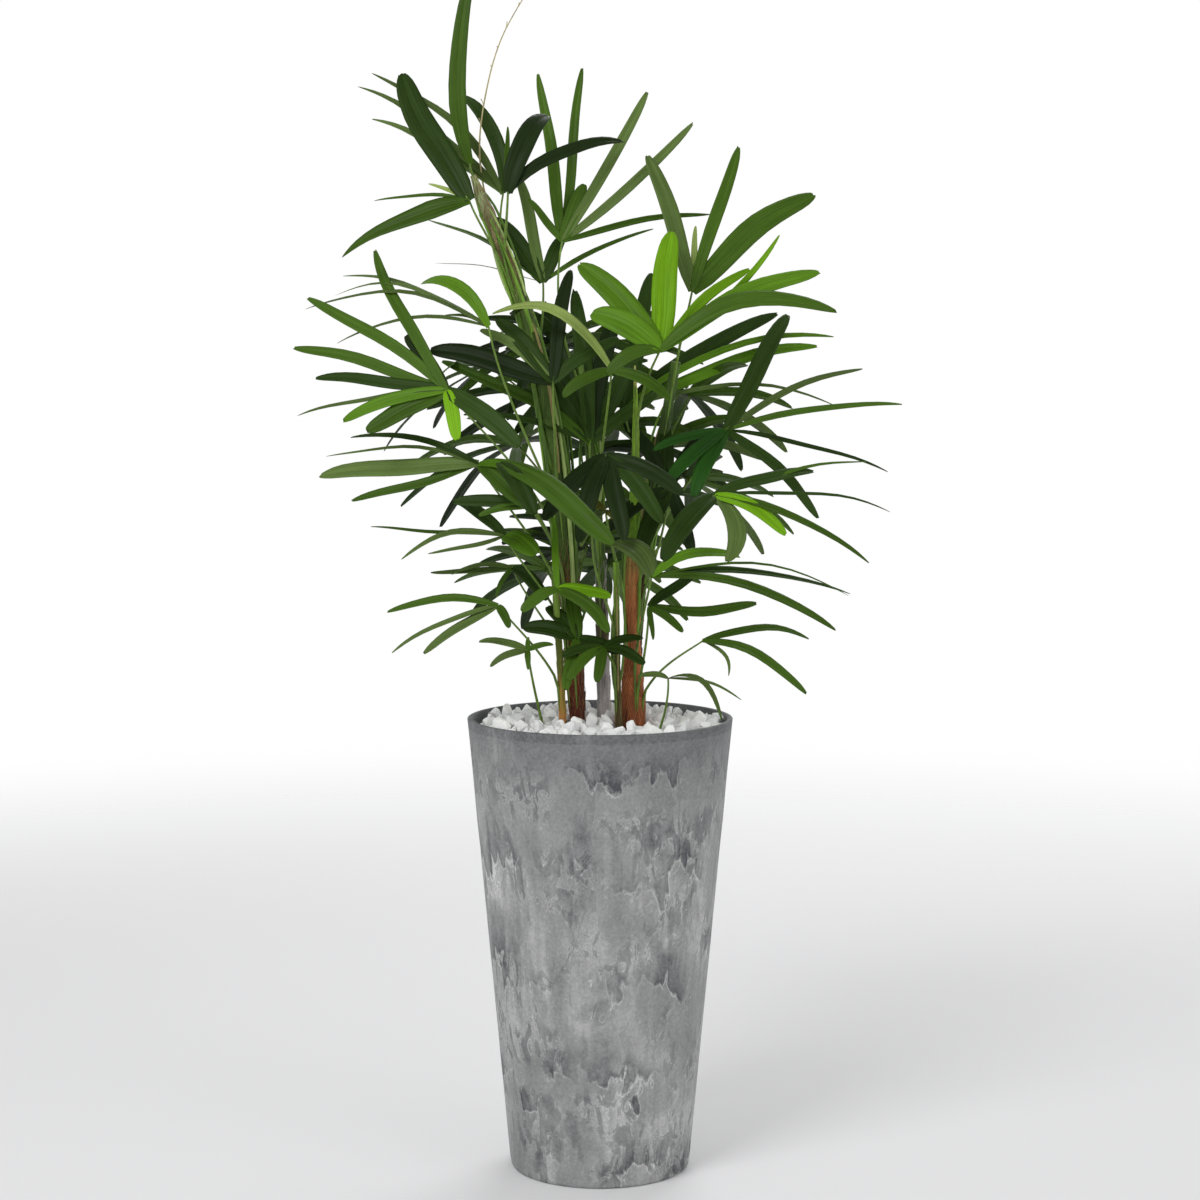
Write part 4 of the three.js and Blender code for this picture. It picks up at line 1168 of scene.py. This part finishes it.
leaves = {
    "spear": {
        "from": ("left", "tip"), "hub": (-137, 0, 1078), "faces": (265, 8), "rays": (89,),
        "reach": (218,), "wide": (20,), "arch": (0.03,), "bow": {0: 0.08}, "taper": {0: 0.4},
        "tints": "m",
    },
    "crown_left": {
        "from": ("left", 965), "hub": (-136, -35, 1037), "faces": (255, 28), "rays": (122, 156, 179, 207),
        "reach": (191, 54, 107, 147), "wide": (30, 6, 5, 25), "arch": (0.03, 0.05, 0.06, 0.08),
        "bow": {0: 0.04}, "taper": {3: 0.9}, "tints": "dpmm",
    },
    "crown_folded": {
        "from": ("left", 950), "hub": (-103, 22, 1048), "faces": (268, 20), "rays": (112, 136, 142, 149),
        "reach": (124, 204, 204, 170), "wide": (16, 12, 12, 13), "arch": (0.04, 0.1, 0.07, 0.07),
        "bow": {0: -0.11}, "twist": {1: 18, 2: 18, 3: 18}, "taper": {1: 0.7, 2: 0.7, 3: 0.7},
        "tints": "dggg",
    },
    "crown_dark": {
        "from": ("left", 985), "hub": (-96, -34, 1046), "faces": (280, 30), "rays": (63, 27, 86),
        "reach": (110, 145, 84), "wide": (23, 15, 7), "arch": (0.17, 0.13, 0.02), "tints": "kkm",
    },
    "top_fan": {
        "from": ("middle", 850), "hub": (-40, 10, 997), "faces": (270, 18),
        "rays": (127, 98, 84, 62, 44, 11, 70), "reach": (61, 196, 202, 196, 196, 161, 70),
        "wide": (9, 14, 11, 12, 11, 8, 16), "arch": (0.02, 0, 0, 0.04, 0.04, 0.04, 0.03),
        "bow": {3: -0.04, 4: -0.06}, "twist": {5: 40}, "taper": {1: 0.3}, "tints": "mmmggmm",
    },
    "top_low": {
        "from": ("left", 880), "hub": (-61, 32, 955), "faces": (272, 25),
        "rays": (169, 149, 124, 102, 68, 28), "reach": (119, 145, 94, 135, 60, 138),
        "wide": (9, 9, 20, 13, 15, 6), "arch": (0.03, 0.05, 0.05, 0.05, 0.05, 0.05),
        "twist": {0: 60, 1: 30, 5: 20}, "tints": "gmdgdm",
    },
    "arching_left": {
        "from": ("left", 725), "hub": (-115, -70, 906), "faces": (245, 35),
        "rays": (150, 161, 168, 174, 187, 165), "reach": (113, 210, 203, 232, 178, 59),
        "wide": (15, 7, 7, 7, 7, 5), "arch": (0.2, 0.07, 0.12, 0.11, 0.1, 0.08),
        "twist": {1: 20, 2: 20, 3: 20, 4: 20}, "tints": "fggggg",
    },
    "pale_arch": {
        "from": ("middle", 720), "hub": (12, -78, 861), "faces": (270, 30), "rays": (152, 212, 330),
        "reach": (143, 60, 70), "wide": (12, 14, 14), "arch": (0.23, 0.1, 0.1), "tints": "pmm",
    },
    "left_fan": {
        "from": ("left", 690), "hub": (-157, -95, 841), "faces": (250, 30),
        "rays": (125, 149, 165, 175, 191, 199, 211, 292, 325, 133),
        "reach": (211, 219, 196, 155, 167, 117, 95, 64, 115, 90),
        "wide": (13, 13, 13, 14, 6, 15, 23, 15, 21, 16),
        "arch": (0.04, 0.04, 0.02, 0.03, 0.05, 0.06, 0.0, 0.05, 0.04, 0.02), "bow": {0: 0.05},
        "tints": "mmmdgfmldk",
    },
    "dark_left": {
        "from": ("left", 745), "hub": (-49, -62, 849), "faces": (265, 30),
        "rays": (164, 142, 130, 85, 38), "reach": (139, 103, 100, 138, 86), "wide": (24, 12, 18, 16, 16),
        "arch": (0.04, 0.07, 0.06, 0.06, 0.05), "tints": "kgdkd",
    },
    "centre": {
        "from": ("middle", 680), "hub": (-11, -8, 784), "faces": (270, 30),
        "rays": (166, 148, 124, 106, 95, 80, 64, 40, 66),
        "reach": (141, 190, 150, 182, 192, 185, 148, 95, 54), "wide": (9, 14, 17, 19, 19, 19, 18, 16, 10),
        "arch": (0.08, 0.06, 0.05, 0.04, 0.03, 0.03, 0.03, 0.03, 0.04), "bow": {8: 0.13},
        "tints": "dmdddkddl",
    },
    "bright_star": {
        "from": ("right", 800), "hub": (61, -128, 882), "faces": (268, 32),
        "rays": (209, 148, 129, 86, 47, 30, 14, 49), "reach": (62, 84, 135, 146, 135, 189, 186, 188),
        "wide": (16, 29, 27, 26, 12, 20, 20, 9),
        "arch": (0.14, 0.08, 0.04, 0.02, 0.05, 0.06, 0.16, -0.08), "tints": "mffllfml",
    },
    "right_top": {
        "from": ("back", 850), "hub": (96, -45, 943), "faces": (280, 26), "rays": (102, 82, 69, 39),
        "reach": (167, 79, 187, 187), "wide": (19, 8, 14, 26), "arch": (0.04, 0.03, 0.05, 0.05),
        "bow": {2: -0.02}, "tints": "gpmm",
    },
    "right_fork": {
        "from": ("back", 745), "hub": (27, 44, 820), "faces": (280, 30), "rays": (75, 33, 19, 20, 360),
        "reach": (179, 220, 239, 262, 239), "wide": (18, 18, 14, 9, 6),
        "arch": (0.04, 0.05, 0.06, 0.11, 0.11), "tints": "ddffg",
    },
    "right_dark": {
        "from": ("back", 680), "hub": (134, 4, 797), "faces": (290, 32),
        "rays": (54, 23, 8, 343, 307, 236, 218, 195), "reach": (184, 198, 222, 189, 138, 98, 104, 92),
        "wide": (20, 8, 8, 6, 15, 18, 16, 11), "arch": (0.04, 0.06, 0.05, 0.05, 0.06, 0.07, 0.07, 0.06),
        "bow": {0: -0.01}, "twist": {1: 10, 2: 10, 3: 10, 5: 22, 6: 12}, "tints": "dgmddeee",
    },
    "right_low": {
        "from": ("right", 640), "hub": (119, -72, 732), "faces": (290, 38),
        "rays": (13, 12, 352, 329, 322, 265, 226), "reach": (125, 193, 199, 178, 86, 85, 113),
        "wide": (14, 5, 5, 11, 18, 21, 22), "arch": (0.06, 0.03, 0.07, 0.08, 0.09, 0.04, 0.08),
        "bow": {5: 0.2}, "taper": {3: 0.4}, "tints": "dmdmlgd",
    },
    "inner_right": {
        "from": ("back", 615), "hub": (74, 8, 735), "faces": (272, 35),
        "rays": (118, 92, 62, 218, 248, 285), "reach": (98, 90, 80, 85, 95, 85),
        "wide": (17, 15, 15, 18, 20, 16), "arch": (0.05,), "tints": "kdkkdk",
    },
    "inner_dark": {
        "from": ("young", 600), "hub": (6, -45, 772), "faces": (270, 38),
        "rays": (232, 256, 280, 304, 328), "reach": (105, 115, 110, 105, 95), "wide": (20,),
        "arch": (0.06,), "tints": "kkkdk",
    },
    "left_broad": {
        "from": ("left", 625), "hub": (-125, -88, 765), "faces": (250, 35),
        "rays": (169, 178, 186, 200, 324, 345), "reach": (159, 178, 179, 142, 92, 100),
        "wide": (8, 5, 20, 11, 18, 13), "arch": (0.09, 0.07, 0.03, 0.0, 0.0, 0.09), "tints": "dggmmf",
    },
    "front_blade": {
        "from": ("left", 650), "hub": (-102, -128, 768), "faces": (265, 45), "rays": (318, 300),
        "reach": (166, 84), "wide": (26, 20), "arch": (0.05, 0.08), "tints": "md",
    },
    "mid_left": {
        "from": ("left", 590), "hub": (-100, -50, 688), "faces": (250, 45),
        "rays": (146, 177, 199, 199, 330), "reach": (89, 160, 85, 114, 50), "wide": (14, 6, 7, 9, 24),
        "arch": (0.08, 0.01, -0.03, 0.13, 0.08), "tints": "dmggf",
    },
    "mid_droop": {
        "from": ("left", 560), "hub": (-94, 10, 650), "faces": (250, 40), "rays": (186, 190, 258, 321),
        "reach": (95, 70, 41, 66), "wide": (8, 7, 7, 15), "arch": (-0.01, 0.1, 0.1, 0.08),
        "tints": "ggmd",
    },
    "low_left": {
        "from": ("slim", 530), "hub": (-106, -72, 617), "faces": (250, 45), "rays": (187, 215, 227, 305),
        "reach": (125, 123, 95, 37), "wide": (11, 8, 13, 10), "arch": (0.08, 0.07, 0.03, 0.05),
        "tints": "mggm",
    },
    "low_block": {
        "from": ("left", 545), "hub": (-24, -46, 580), "faces": (268, 45),
        "rays": (166, 128, 98, 262, 335), "reach": (60, 55, 62, 72, 50), "wide": (20, 17, 16, 13, 15),
        "arch": (0.05,), "tints": "ddmmd",
    },
    "bright_low": {
        "from": ("slim", "tip"), "hub": (-44, -94, 636), "faces": (272, 42), "rays": (349, 312, 218, 92),
        "reach": (57, 78, 48, 96), "wide": (16, 16, 14, 8), "arch": (0.06, 0.11, 0.09, 0.08),
        "tints": "lmmf",
    },
    "low_centre": {
        "from": ("young", 545), "hub": (4, -62, 572), "faces": (270, 50),
        "rays": (198, 232, 262, 330, 18), "reach": (46, 62, 52, 50, 44), "wide": (13, 14, 12, 14, 12),
        "arch": (0.08,), "tints": "dmmdd",
    },
    "curled": {
        "from": ("young", "tip"), "hub": (6, -66, 716), "faces": (270, 50), "rays": (176, 245, 300),
        "reach": (30, 62, 44), "wide": (13, 10, 9), "arch": (0.2, 0.06), "tints": "ogo",
    },
    "front_right": {
        "from": ("right", 550), "hub": (53, -108, 650), "faces": (288, 48),
        "rays": (122, 13, 351, 350, 335), "reach": (58, 108, 216, 214, 199), "wide": (29, 13, 11, 4, 13),
        "arch": (0.22, 0.14, 0.07, 0.11, 0.1), "taper": {2: 0.8}, "tints": "gfdmm",
    },
    "low_pair": {
        "from": ("right", 520), "hub": (51, -58, 614), "faces": (290, 42), "rays": (32, 0, 311, 262),
        "reach": (80, 125, 46, 44), "wide": (12, 13, 11, 7), "arch": (0.04, -0.04, 0.05, 0.06),
        "tints": "dmmm",
    },
    "low_right": {
        "from": ("right", 515), "hub": (107, -75, 580), "faces": (290, 45), "rays": (358, 321, 287),
        "reach": (122, 123, 51), "wide": (10, 13, 6), "arch": (0.11, 0.11, 0.04), "bow": {2: 0.2},
        "tints": "mmg",
    },
    "seedling_right": {
        "from": ("soil", (48, -64)), "hub": (71, -78, 541), "faces": (272, 55), "rays": (175, 335, 308),
        "reach": (32, 83, 85), "wide": (9, 5, 8), "arch": (0.12, 0.09, 0.27), "tints": "ggg",
    },
    "seedling_left": {
        "from": ("soil", (-56, 8)), "hub": (-76, -55, 568), "faces": (265, 35),
        "rays": (170, 208, 275, 14, 92), "reach": (54, 44, 24, 28, 16), "wide": (9, 9, 7, 8, 6),
        "arch": (0.1,), "tints": "ggmmm",
    },
    "left_stub": {
        "from": ("left", 640), "hub": (-72, -100, 722), "faces": (262, 35), "rays": (177, 193),
        "reach": (82, 55), "wide": (15, 10), "arch": (0.04, 0.06), "tints": "dm",
    },
}


# the leaves round the back and the sides, dealt out along arcs round a cane

arcs = {  # span is in degrees of bearing, rise is the height, out is how far a hub stands off
    "rear_low": {
        "cane": "rear", "count": 4, "seed": 35,
        "span": (60, 115), "rise": (630, 680), "out": 105, "reach": 130,
    },
    "rear_high": {
        "cane": "rear", "count": 5, "seed": 23,
        "span": (30, 180), "rise": (770, 910), "out": 85, "reach": 165,
    },
    "back_high": {
        "cane": "back", "count": 4, "seed": 36,
        "span": (30, 110), "rise": (710, 860), "out": 68, "reach": 145,
    },
    "inner_high": {
        "cane": "middle", "count": 2, "seed": 34,
        "span": (80, 140), "rise": (840, 900), "out": 50, "reach": 140,
    },
}

arcLeaf = {
    "leaflets": 7,
    "spread": 235,  # degrees from the first leaflet to the last
    "unevenness": 8,
    "tilt": 48, "tiltSpan": 12,
    "outSpan": (0.85, 0.3),
    "below": 70,  # mm below its hub that a stalk leaves the cane, and at least topRoom below its tip
    "topRoom": 12,
    "outer": 0.75,  # the outermost leaflets' length, as a share of the middle one's
    "wide": 16, "arch": 0.09, "tints": "dmmgdmk",
}


def arcLeaves():
    a = arcLeaf
    made = {}
    for label, arc in arcs.items():
        roll = dice(arc["seed"])
        top = canes[arc["cane"]]["spline"].at(1)[2] - a["topRoom"]
        for i in range(arc["count"]):
            bearing = mix(*arc["span"], (i + 0.5) / arc["count"])
            height = mix(*arc["rise"], (i * 0.62 + 0.2) % 1)
            middle = caneAt(arc["cane"], min(height - a["below"], top))[0]
            least, more = a["outSpan"]
            out = arc["out"] * (least + more * next(roll))
            b = math.radians(bearing)
            rays = []
            for k in range(a["leaflets"]):
                ray = 270 + a["spread"] * (k / (a["leaflets"] - 1) - 0.5)
                rays.append(ray + a["unevenness"] * (next(roll) - 0.5))
            made[f"{label}_{i + 1}"] = {
                "from": (arc["cane"], middle[2]),
                "hub": (middle[0] + out * math.cos(b), middle[1] + out * math.sin(b), height),
                "faces": (bearing, a["tilt"] + a["tiltSpan"] * (next(roll) - 0.5)),
                "rays": rays,
                "reach": (arc["reach"] * a["outer"], arc["reach"], arc["reach"] * a["outer"]),
                "wide": (a["wide"],), "arch": (a["arch"],),
                "tints": a["tints"][i:] + a["tints"][:i],
            }
    return made


# how a leaf grows

stalk = {
    "half": (1.9, 1.1),  # from its foot to the hub
    "footHalf": (0.2, 3),  # how it swells from the clasping end, as a share
    "climb": 0.34, "spread": 0.2,  # how far it sets off upwards and outwards, as a share of its length
    "turnIn": (0.45, 0.06),
    "points": 15,
    "swerves": (0, 0.07, -0.07, 0.14, -0.14, 0.21, -0.21, 0.28, -0.28, 0.35, -0.35, 0.42, -0.42),
    "room": 4,
    "clasp": (50, 120),  # mm that the foot clasps the cane below where the stalk leaves it
    "claspPoints": 6,
    "claspGap": 0.4,
    "lowest": 500,
}

leafletShape = {
    "rows": (0, 0.05, 0.11, 0.19, 0.28, 0.38, 0.48, 0.58, 0.68, 0.77, 0.85, 0.91, 0.955, 0.983, 1),
    "bluntWave": (0.14, 0.74),  # a blunt blade's width follows this part of a half wave
    "bluntFullness": 0.6,
    "pointedGain": 1.24,
    "pointedFoot": (0.15, 0.4),
    "pointedFall": (0.95, 0.8),
    "root": 0.72,  # width at the hub, as a share of the even taper
    "rootRun": 0.1,
    "narrow": (6, 12),  # mm wide: from here blades are pointed, and from here on blunt
    "pointed": 0.6,  # how pointed the narrow ones are
    "tipFrom": 0.86,
    "tip": 0.4,
    "sway": 0.012,  # how far a leaflet strays from its even arch, as a share of its length
    "roll": 8,  # degrees that a blade turns along its length
}
bladeSizes = {
    "Ribs": 9, "Pleats": 2.0, "Pleat depth": 0.1, "Channel": 0.13, "Thickness": 0.06, "Teeth": 0.009,
    "Tooth scale": 420.0,
}


def leafPlane(faces):  # out of the leaf's upper side, across it and up it
    bearing, tilt = np.radians(faces)
    out = np.array([math.cos(tilt) * math.cos(bearing), math.cos(tilt) * math.sin(bearing), math.sin(tilt)])
    across = np.array([-math.sin(bearing), math.cos(bearing), 0])
    return out, across, np.cross(out, across)


def stalkFoot(source, where, hub):
    if source == "soil":
        return np.array([*where, soilTop + 0.3])
    if where == "tip":
        return canes[source]["spline"].at(1)
    middle, along, radius = caneAt(source, where)
    start = (hub - middle) * (1, 1, 0)
    return middle + unit(start - along * start.dot(along)) * radius


# what is taken already, in cells, so that stalks swerve round the canes and each other
taken = {}
cellSize = 7
beside = [(x, y, z) for x in (-1, 0, 1) for y in (-1, 0, 1) for z in (-1, 0, 1)]


def cellOf(p):
    return tuple(int(c // cellSize) for c in p)


def isClear(points, owner, room):
    for p in points:
        x, y, z = cellOf(p)
        for dx, dy, dz in beside:
            for q, who in taken.get((x + dx, y + dy, z + dz), ()):
                if who != owner and math.dist(p, q) < room:
                    return False
    return True


def take(points, owner):
    for p in points:
        taken.setdefault(cellOf(p), []).append((p, owner))


def bezier(t, *corners):  # quadratic or cubic, by its corners
    points = [np.array(c, float)[None, :] for c in corners]
    t = np.array(t)[:, None]
    while len(points) > 1:
        points = [a + (b - a) * t for a, b in zip(points, points[1:])]
    return points[0]


def stalkLine(leaf, swerve):
    hub = np.array(leaf["hub"], float)
    foot = stalkFoot(*leaf["from"], hub)
    out = unit((hub - foot) * (1, 1, 0))
    length = np.linalg.norm(hub - foot)
    sideways = np.cross(upwards, out)
    leaving = foot + (out * stalk["spread"] + upwards * stalk["climb"] + sideways * swerve) * length
    back, ahead = stalk["turnIn"]
    arriving = mix(hub, leaving, back) + out * length * ahead
    return bezier(np.linspace(0, 1, stalk["points"]), foot, leaving, arriving, hub), sideways


def growStalk(leaf, name, roll):
    for swerve in stalk["swerves"]:
        line, sideways = stalkLine(leaf, swerve)
        if isClear(line[3:-1], name, stalk["room"]):
            break
    else:
        line, sideways = stalkLine(leaf, 0)
    take(line, name)
    source, where = leaf["from"]
    if source == "soil" or where == "tip":
        half = np.linspace(*stalk["half"], len(line))
        return thread(line, sideways, half, roll.random())
    # the stalk's foot clasps the cane for a way below where it leaves
    low = max(where - roll.uniform(*stalk["clasp"]), stalk["lowest"])
    outward = unit((line[1] - caneAt(source, where)[0]) * (1, 1, 0))
    clasp = []
    for height in np.linspace(low, where - 6, stalk["claspPoints"]):
        middle, _, radius = caneAt(source, height)
        clasp.append(middle + outward * (radius + stalk["claspGap"]))
    line = np.vstack([clasp, line[1:]])
    swell = np.minimum(1, np.linspace(*stalk["footHalf"], len(line)))
    half = np.linspace(*stalk["half"], len(line)) * swell
    return thread(line, sideways, half, roll.random())


def bladeWidth(t, taper):  # the width a share of the way along a blade, as a share of its widest
    s = leafletShape
    start, run = s["bluntWave"]
    blunt = math.sin(math.pi * (start + run * t)) ** s["bluntFullness"]
    start, run = s["pointedFoot"]
    drop, power = s["pointedFall"]
    pointed = s["pointedGain"] * min(1, (t + start) / run) * (1 - drop * t) ** power
    foot = mix(s["root"], 1, min(1, t / s["rootRun"]))
    past = max(0, (t - s["tipFrom"]) / (1 - s["tipFrom"]))
    tip = max(s["tip"] * (1 - taper), math.sqrt(max(0, 1 - past ** 2)))
    return mix(blunt, pointed, taper) * foot * tip


def taperOf(leaf, index, width):
    narrow, broad = leafletShape["narrow"]
    usual = leafletShape["pointed"] * min(1, max(0, (broad - width) / (broad - narrow)))
    return leaf.get("taper", {}).get(index, usual)


def leafletLine(leaf, index, sway):
    out, across, rise = leafPlane(leaf["faces"])
    share = index / max(1, len(leaf["rays"]) - 1)
    length, width, arch = (dealt(leaf[key], share) for key in ("reach", "wide", "arch"))
    angle = math.radians(leaf["rays"][index])
    chord = across * math.cos(angle) + rise * math.sin(angle)
    hub = np.array(leaf["hub"], float)
    tip = hub + chord * length
    bulge = upwards + out * 0.3
    bulge = unit(bulge - chord * bulge.dot(chord))
    rows = np.array(leafletShape["rows"])
    sideways = unit(np.cross(out, chord))
    bow = leaf.get("bow", {}).get(index, 0)
    line = bezier(rows, hub, (hub + tip) / 2 + (bulge * arch + sideways * bow) * 2 * length, tip)
    stray = np.sin(rows * math.pi) * length * leafletShape["sway"]
    line = line + np.outer(stray * np.sin(rows * 5 + sway[0]), bulge)
    line = line + np.outer(stray * np.sin(rows * 4 + sway[1]), sideways)
    turn = math.radians(leaf.get("twist", {}).get(index, 0))
    turns = turn + np.radians(leafletShape["roll"]) * sway[2] * rows
    lifted = np.cross(chord, sideways)
    facing = np.outer(np.cos(turns), sideways) + np.outer(np.sin(turns), lifted)
    taper = taperOf(leaf, index, width)
    half = np.array([bladeWidth(t, taper) for t in rows]) * width / 2
    return line, facing, half


def makeLeaves():
    everyLeaf = {**leaves, **arcLeaves()}
    roll = random.Random(5)
    for name, cane in canes.items():
        for t in np.linspace(0, 1, 60):
            take([cane["spline"].at(t)], "cane_" + name)
    stalks = {name: growStalk(leaf, name, roll) for name, leaf in everyLeaf.items()}
    blades = {letter: [] for letter in leafTints}
    for leaf in everyLeaf.values():
        for index, letter in enumerate(leaf["tints"]):
            sway = (roll.uniform(0, 6.28), roll.uniform(0, 6.28), roll.uniform(-1, 1))
            blades[letter].append(thread(*leafletLine(leaf, index, sway), roll.random()))
    return everyLeaf, stalks, blades


everyLeaf, stalks, blades = makeLeaves()
print("leaves", len(everyLeaf), "leaflets", sum(map(len, blades.values())))
tree = leafletTree()
for letter, threads in blades.items():
    label, colour = leafTints[letter]
    piece = grown("leaflets_" + label, threadMesh(label, threads), tree, {
        **bladeSizes, "Finish": leafMaterial("leaf_" + label, colour),
    })
    nodes = sorted("leaf_" + name for name, leaf in everyLeaf.items() if letter in leaf["tints"])
    settle(piece, "leaf", *nodes)

piece = grown("leaf_stalks", threadMesh("stalks", list(stalks.values())), stems, {
    "Sides": 8, "Groove": 0.35, "Finish": stemMaterial("greenStalk", (96, 124, 46), roughness=0.45),
})
settle(piece, "leaf")


# flower stem

flowerStem = {
    "from": ("left", 968),
    "line": [
        (-102, 26, 985), (-121, 30, 1040), (-128, 22, 1095), (-121, 16, 1152), (-104, 14, 1210),
        (-66, 14, 1276),
    ],
    "half": (1.2, 0.6),
    "points": 48,
    "colour": (170, 160, 116),
    "stubs": 12,  # where the flowers were
    "stubSpan": (0.35, 0.97),
    "stubLength": (3, 9),
    "stubHalf": (0.5, 0.4, 0.55),
}


def makeFlowerStem():
    f = flowerStem
    foot = stalkFoot(*f["from"], np.array(f["line"][0], float))
    spline = Spline([foot] + f["line"])
    points = np.array([spline.at(t) for t in np.linspace(0, 1, f["points"])])
    threads = [thread(points, (1, 0, 0), np.linspace(*f["half"], f["points"]))]
    roll = random.Random(11)
    for t in np.linspace(*f["stubSpan"], f["stubs"]):
        start, along = spline.at(t), spline.along(t)
        way = unit(np.array([roll.uniform(-1, 1), roll.uniform(-1, 1), 0.9]) + along)
        end = start + way * roll.uniform(*f["stubLength"])
        bent = [start, (start + end) / 2 + along, end]
        threads.append(thread(bent, np.cross(way, upwards) + 0.01, f["stubHalf"]))
    piece = grown("flower_stem_dry", threadMesh("flowerStem", threads), stems, {
        "Sides": 6, "Groove": 0.0, "Finish": stemMaterial("dryStraw", f["colour"], roughness=0.8),
    })
    settle(piece, "flower", "flower_stem")


makeFlowerStem()

print("done")
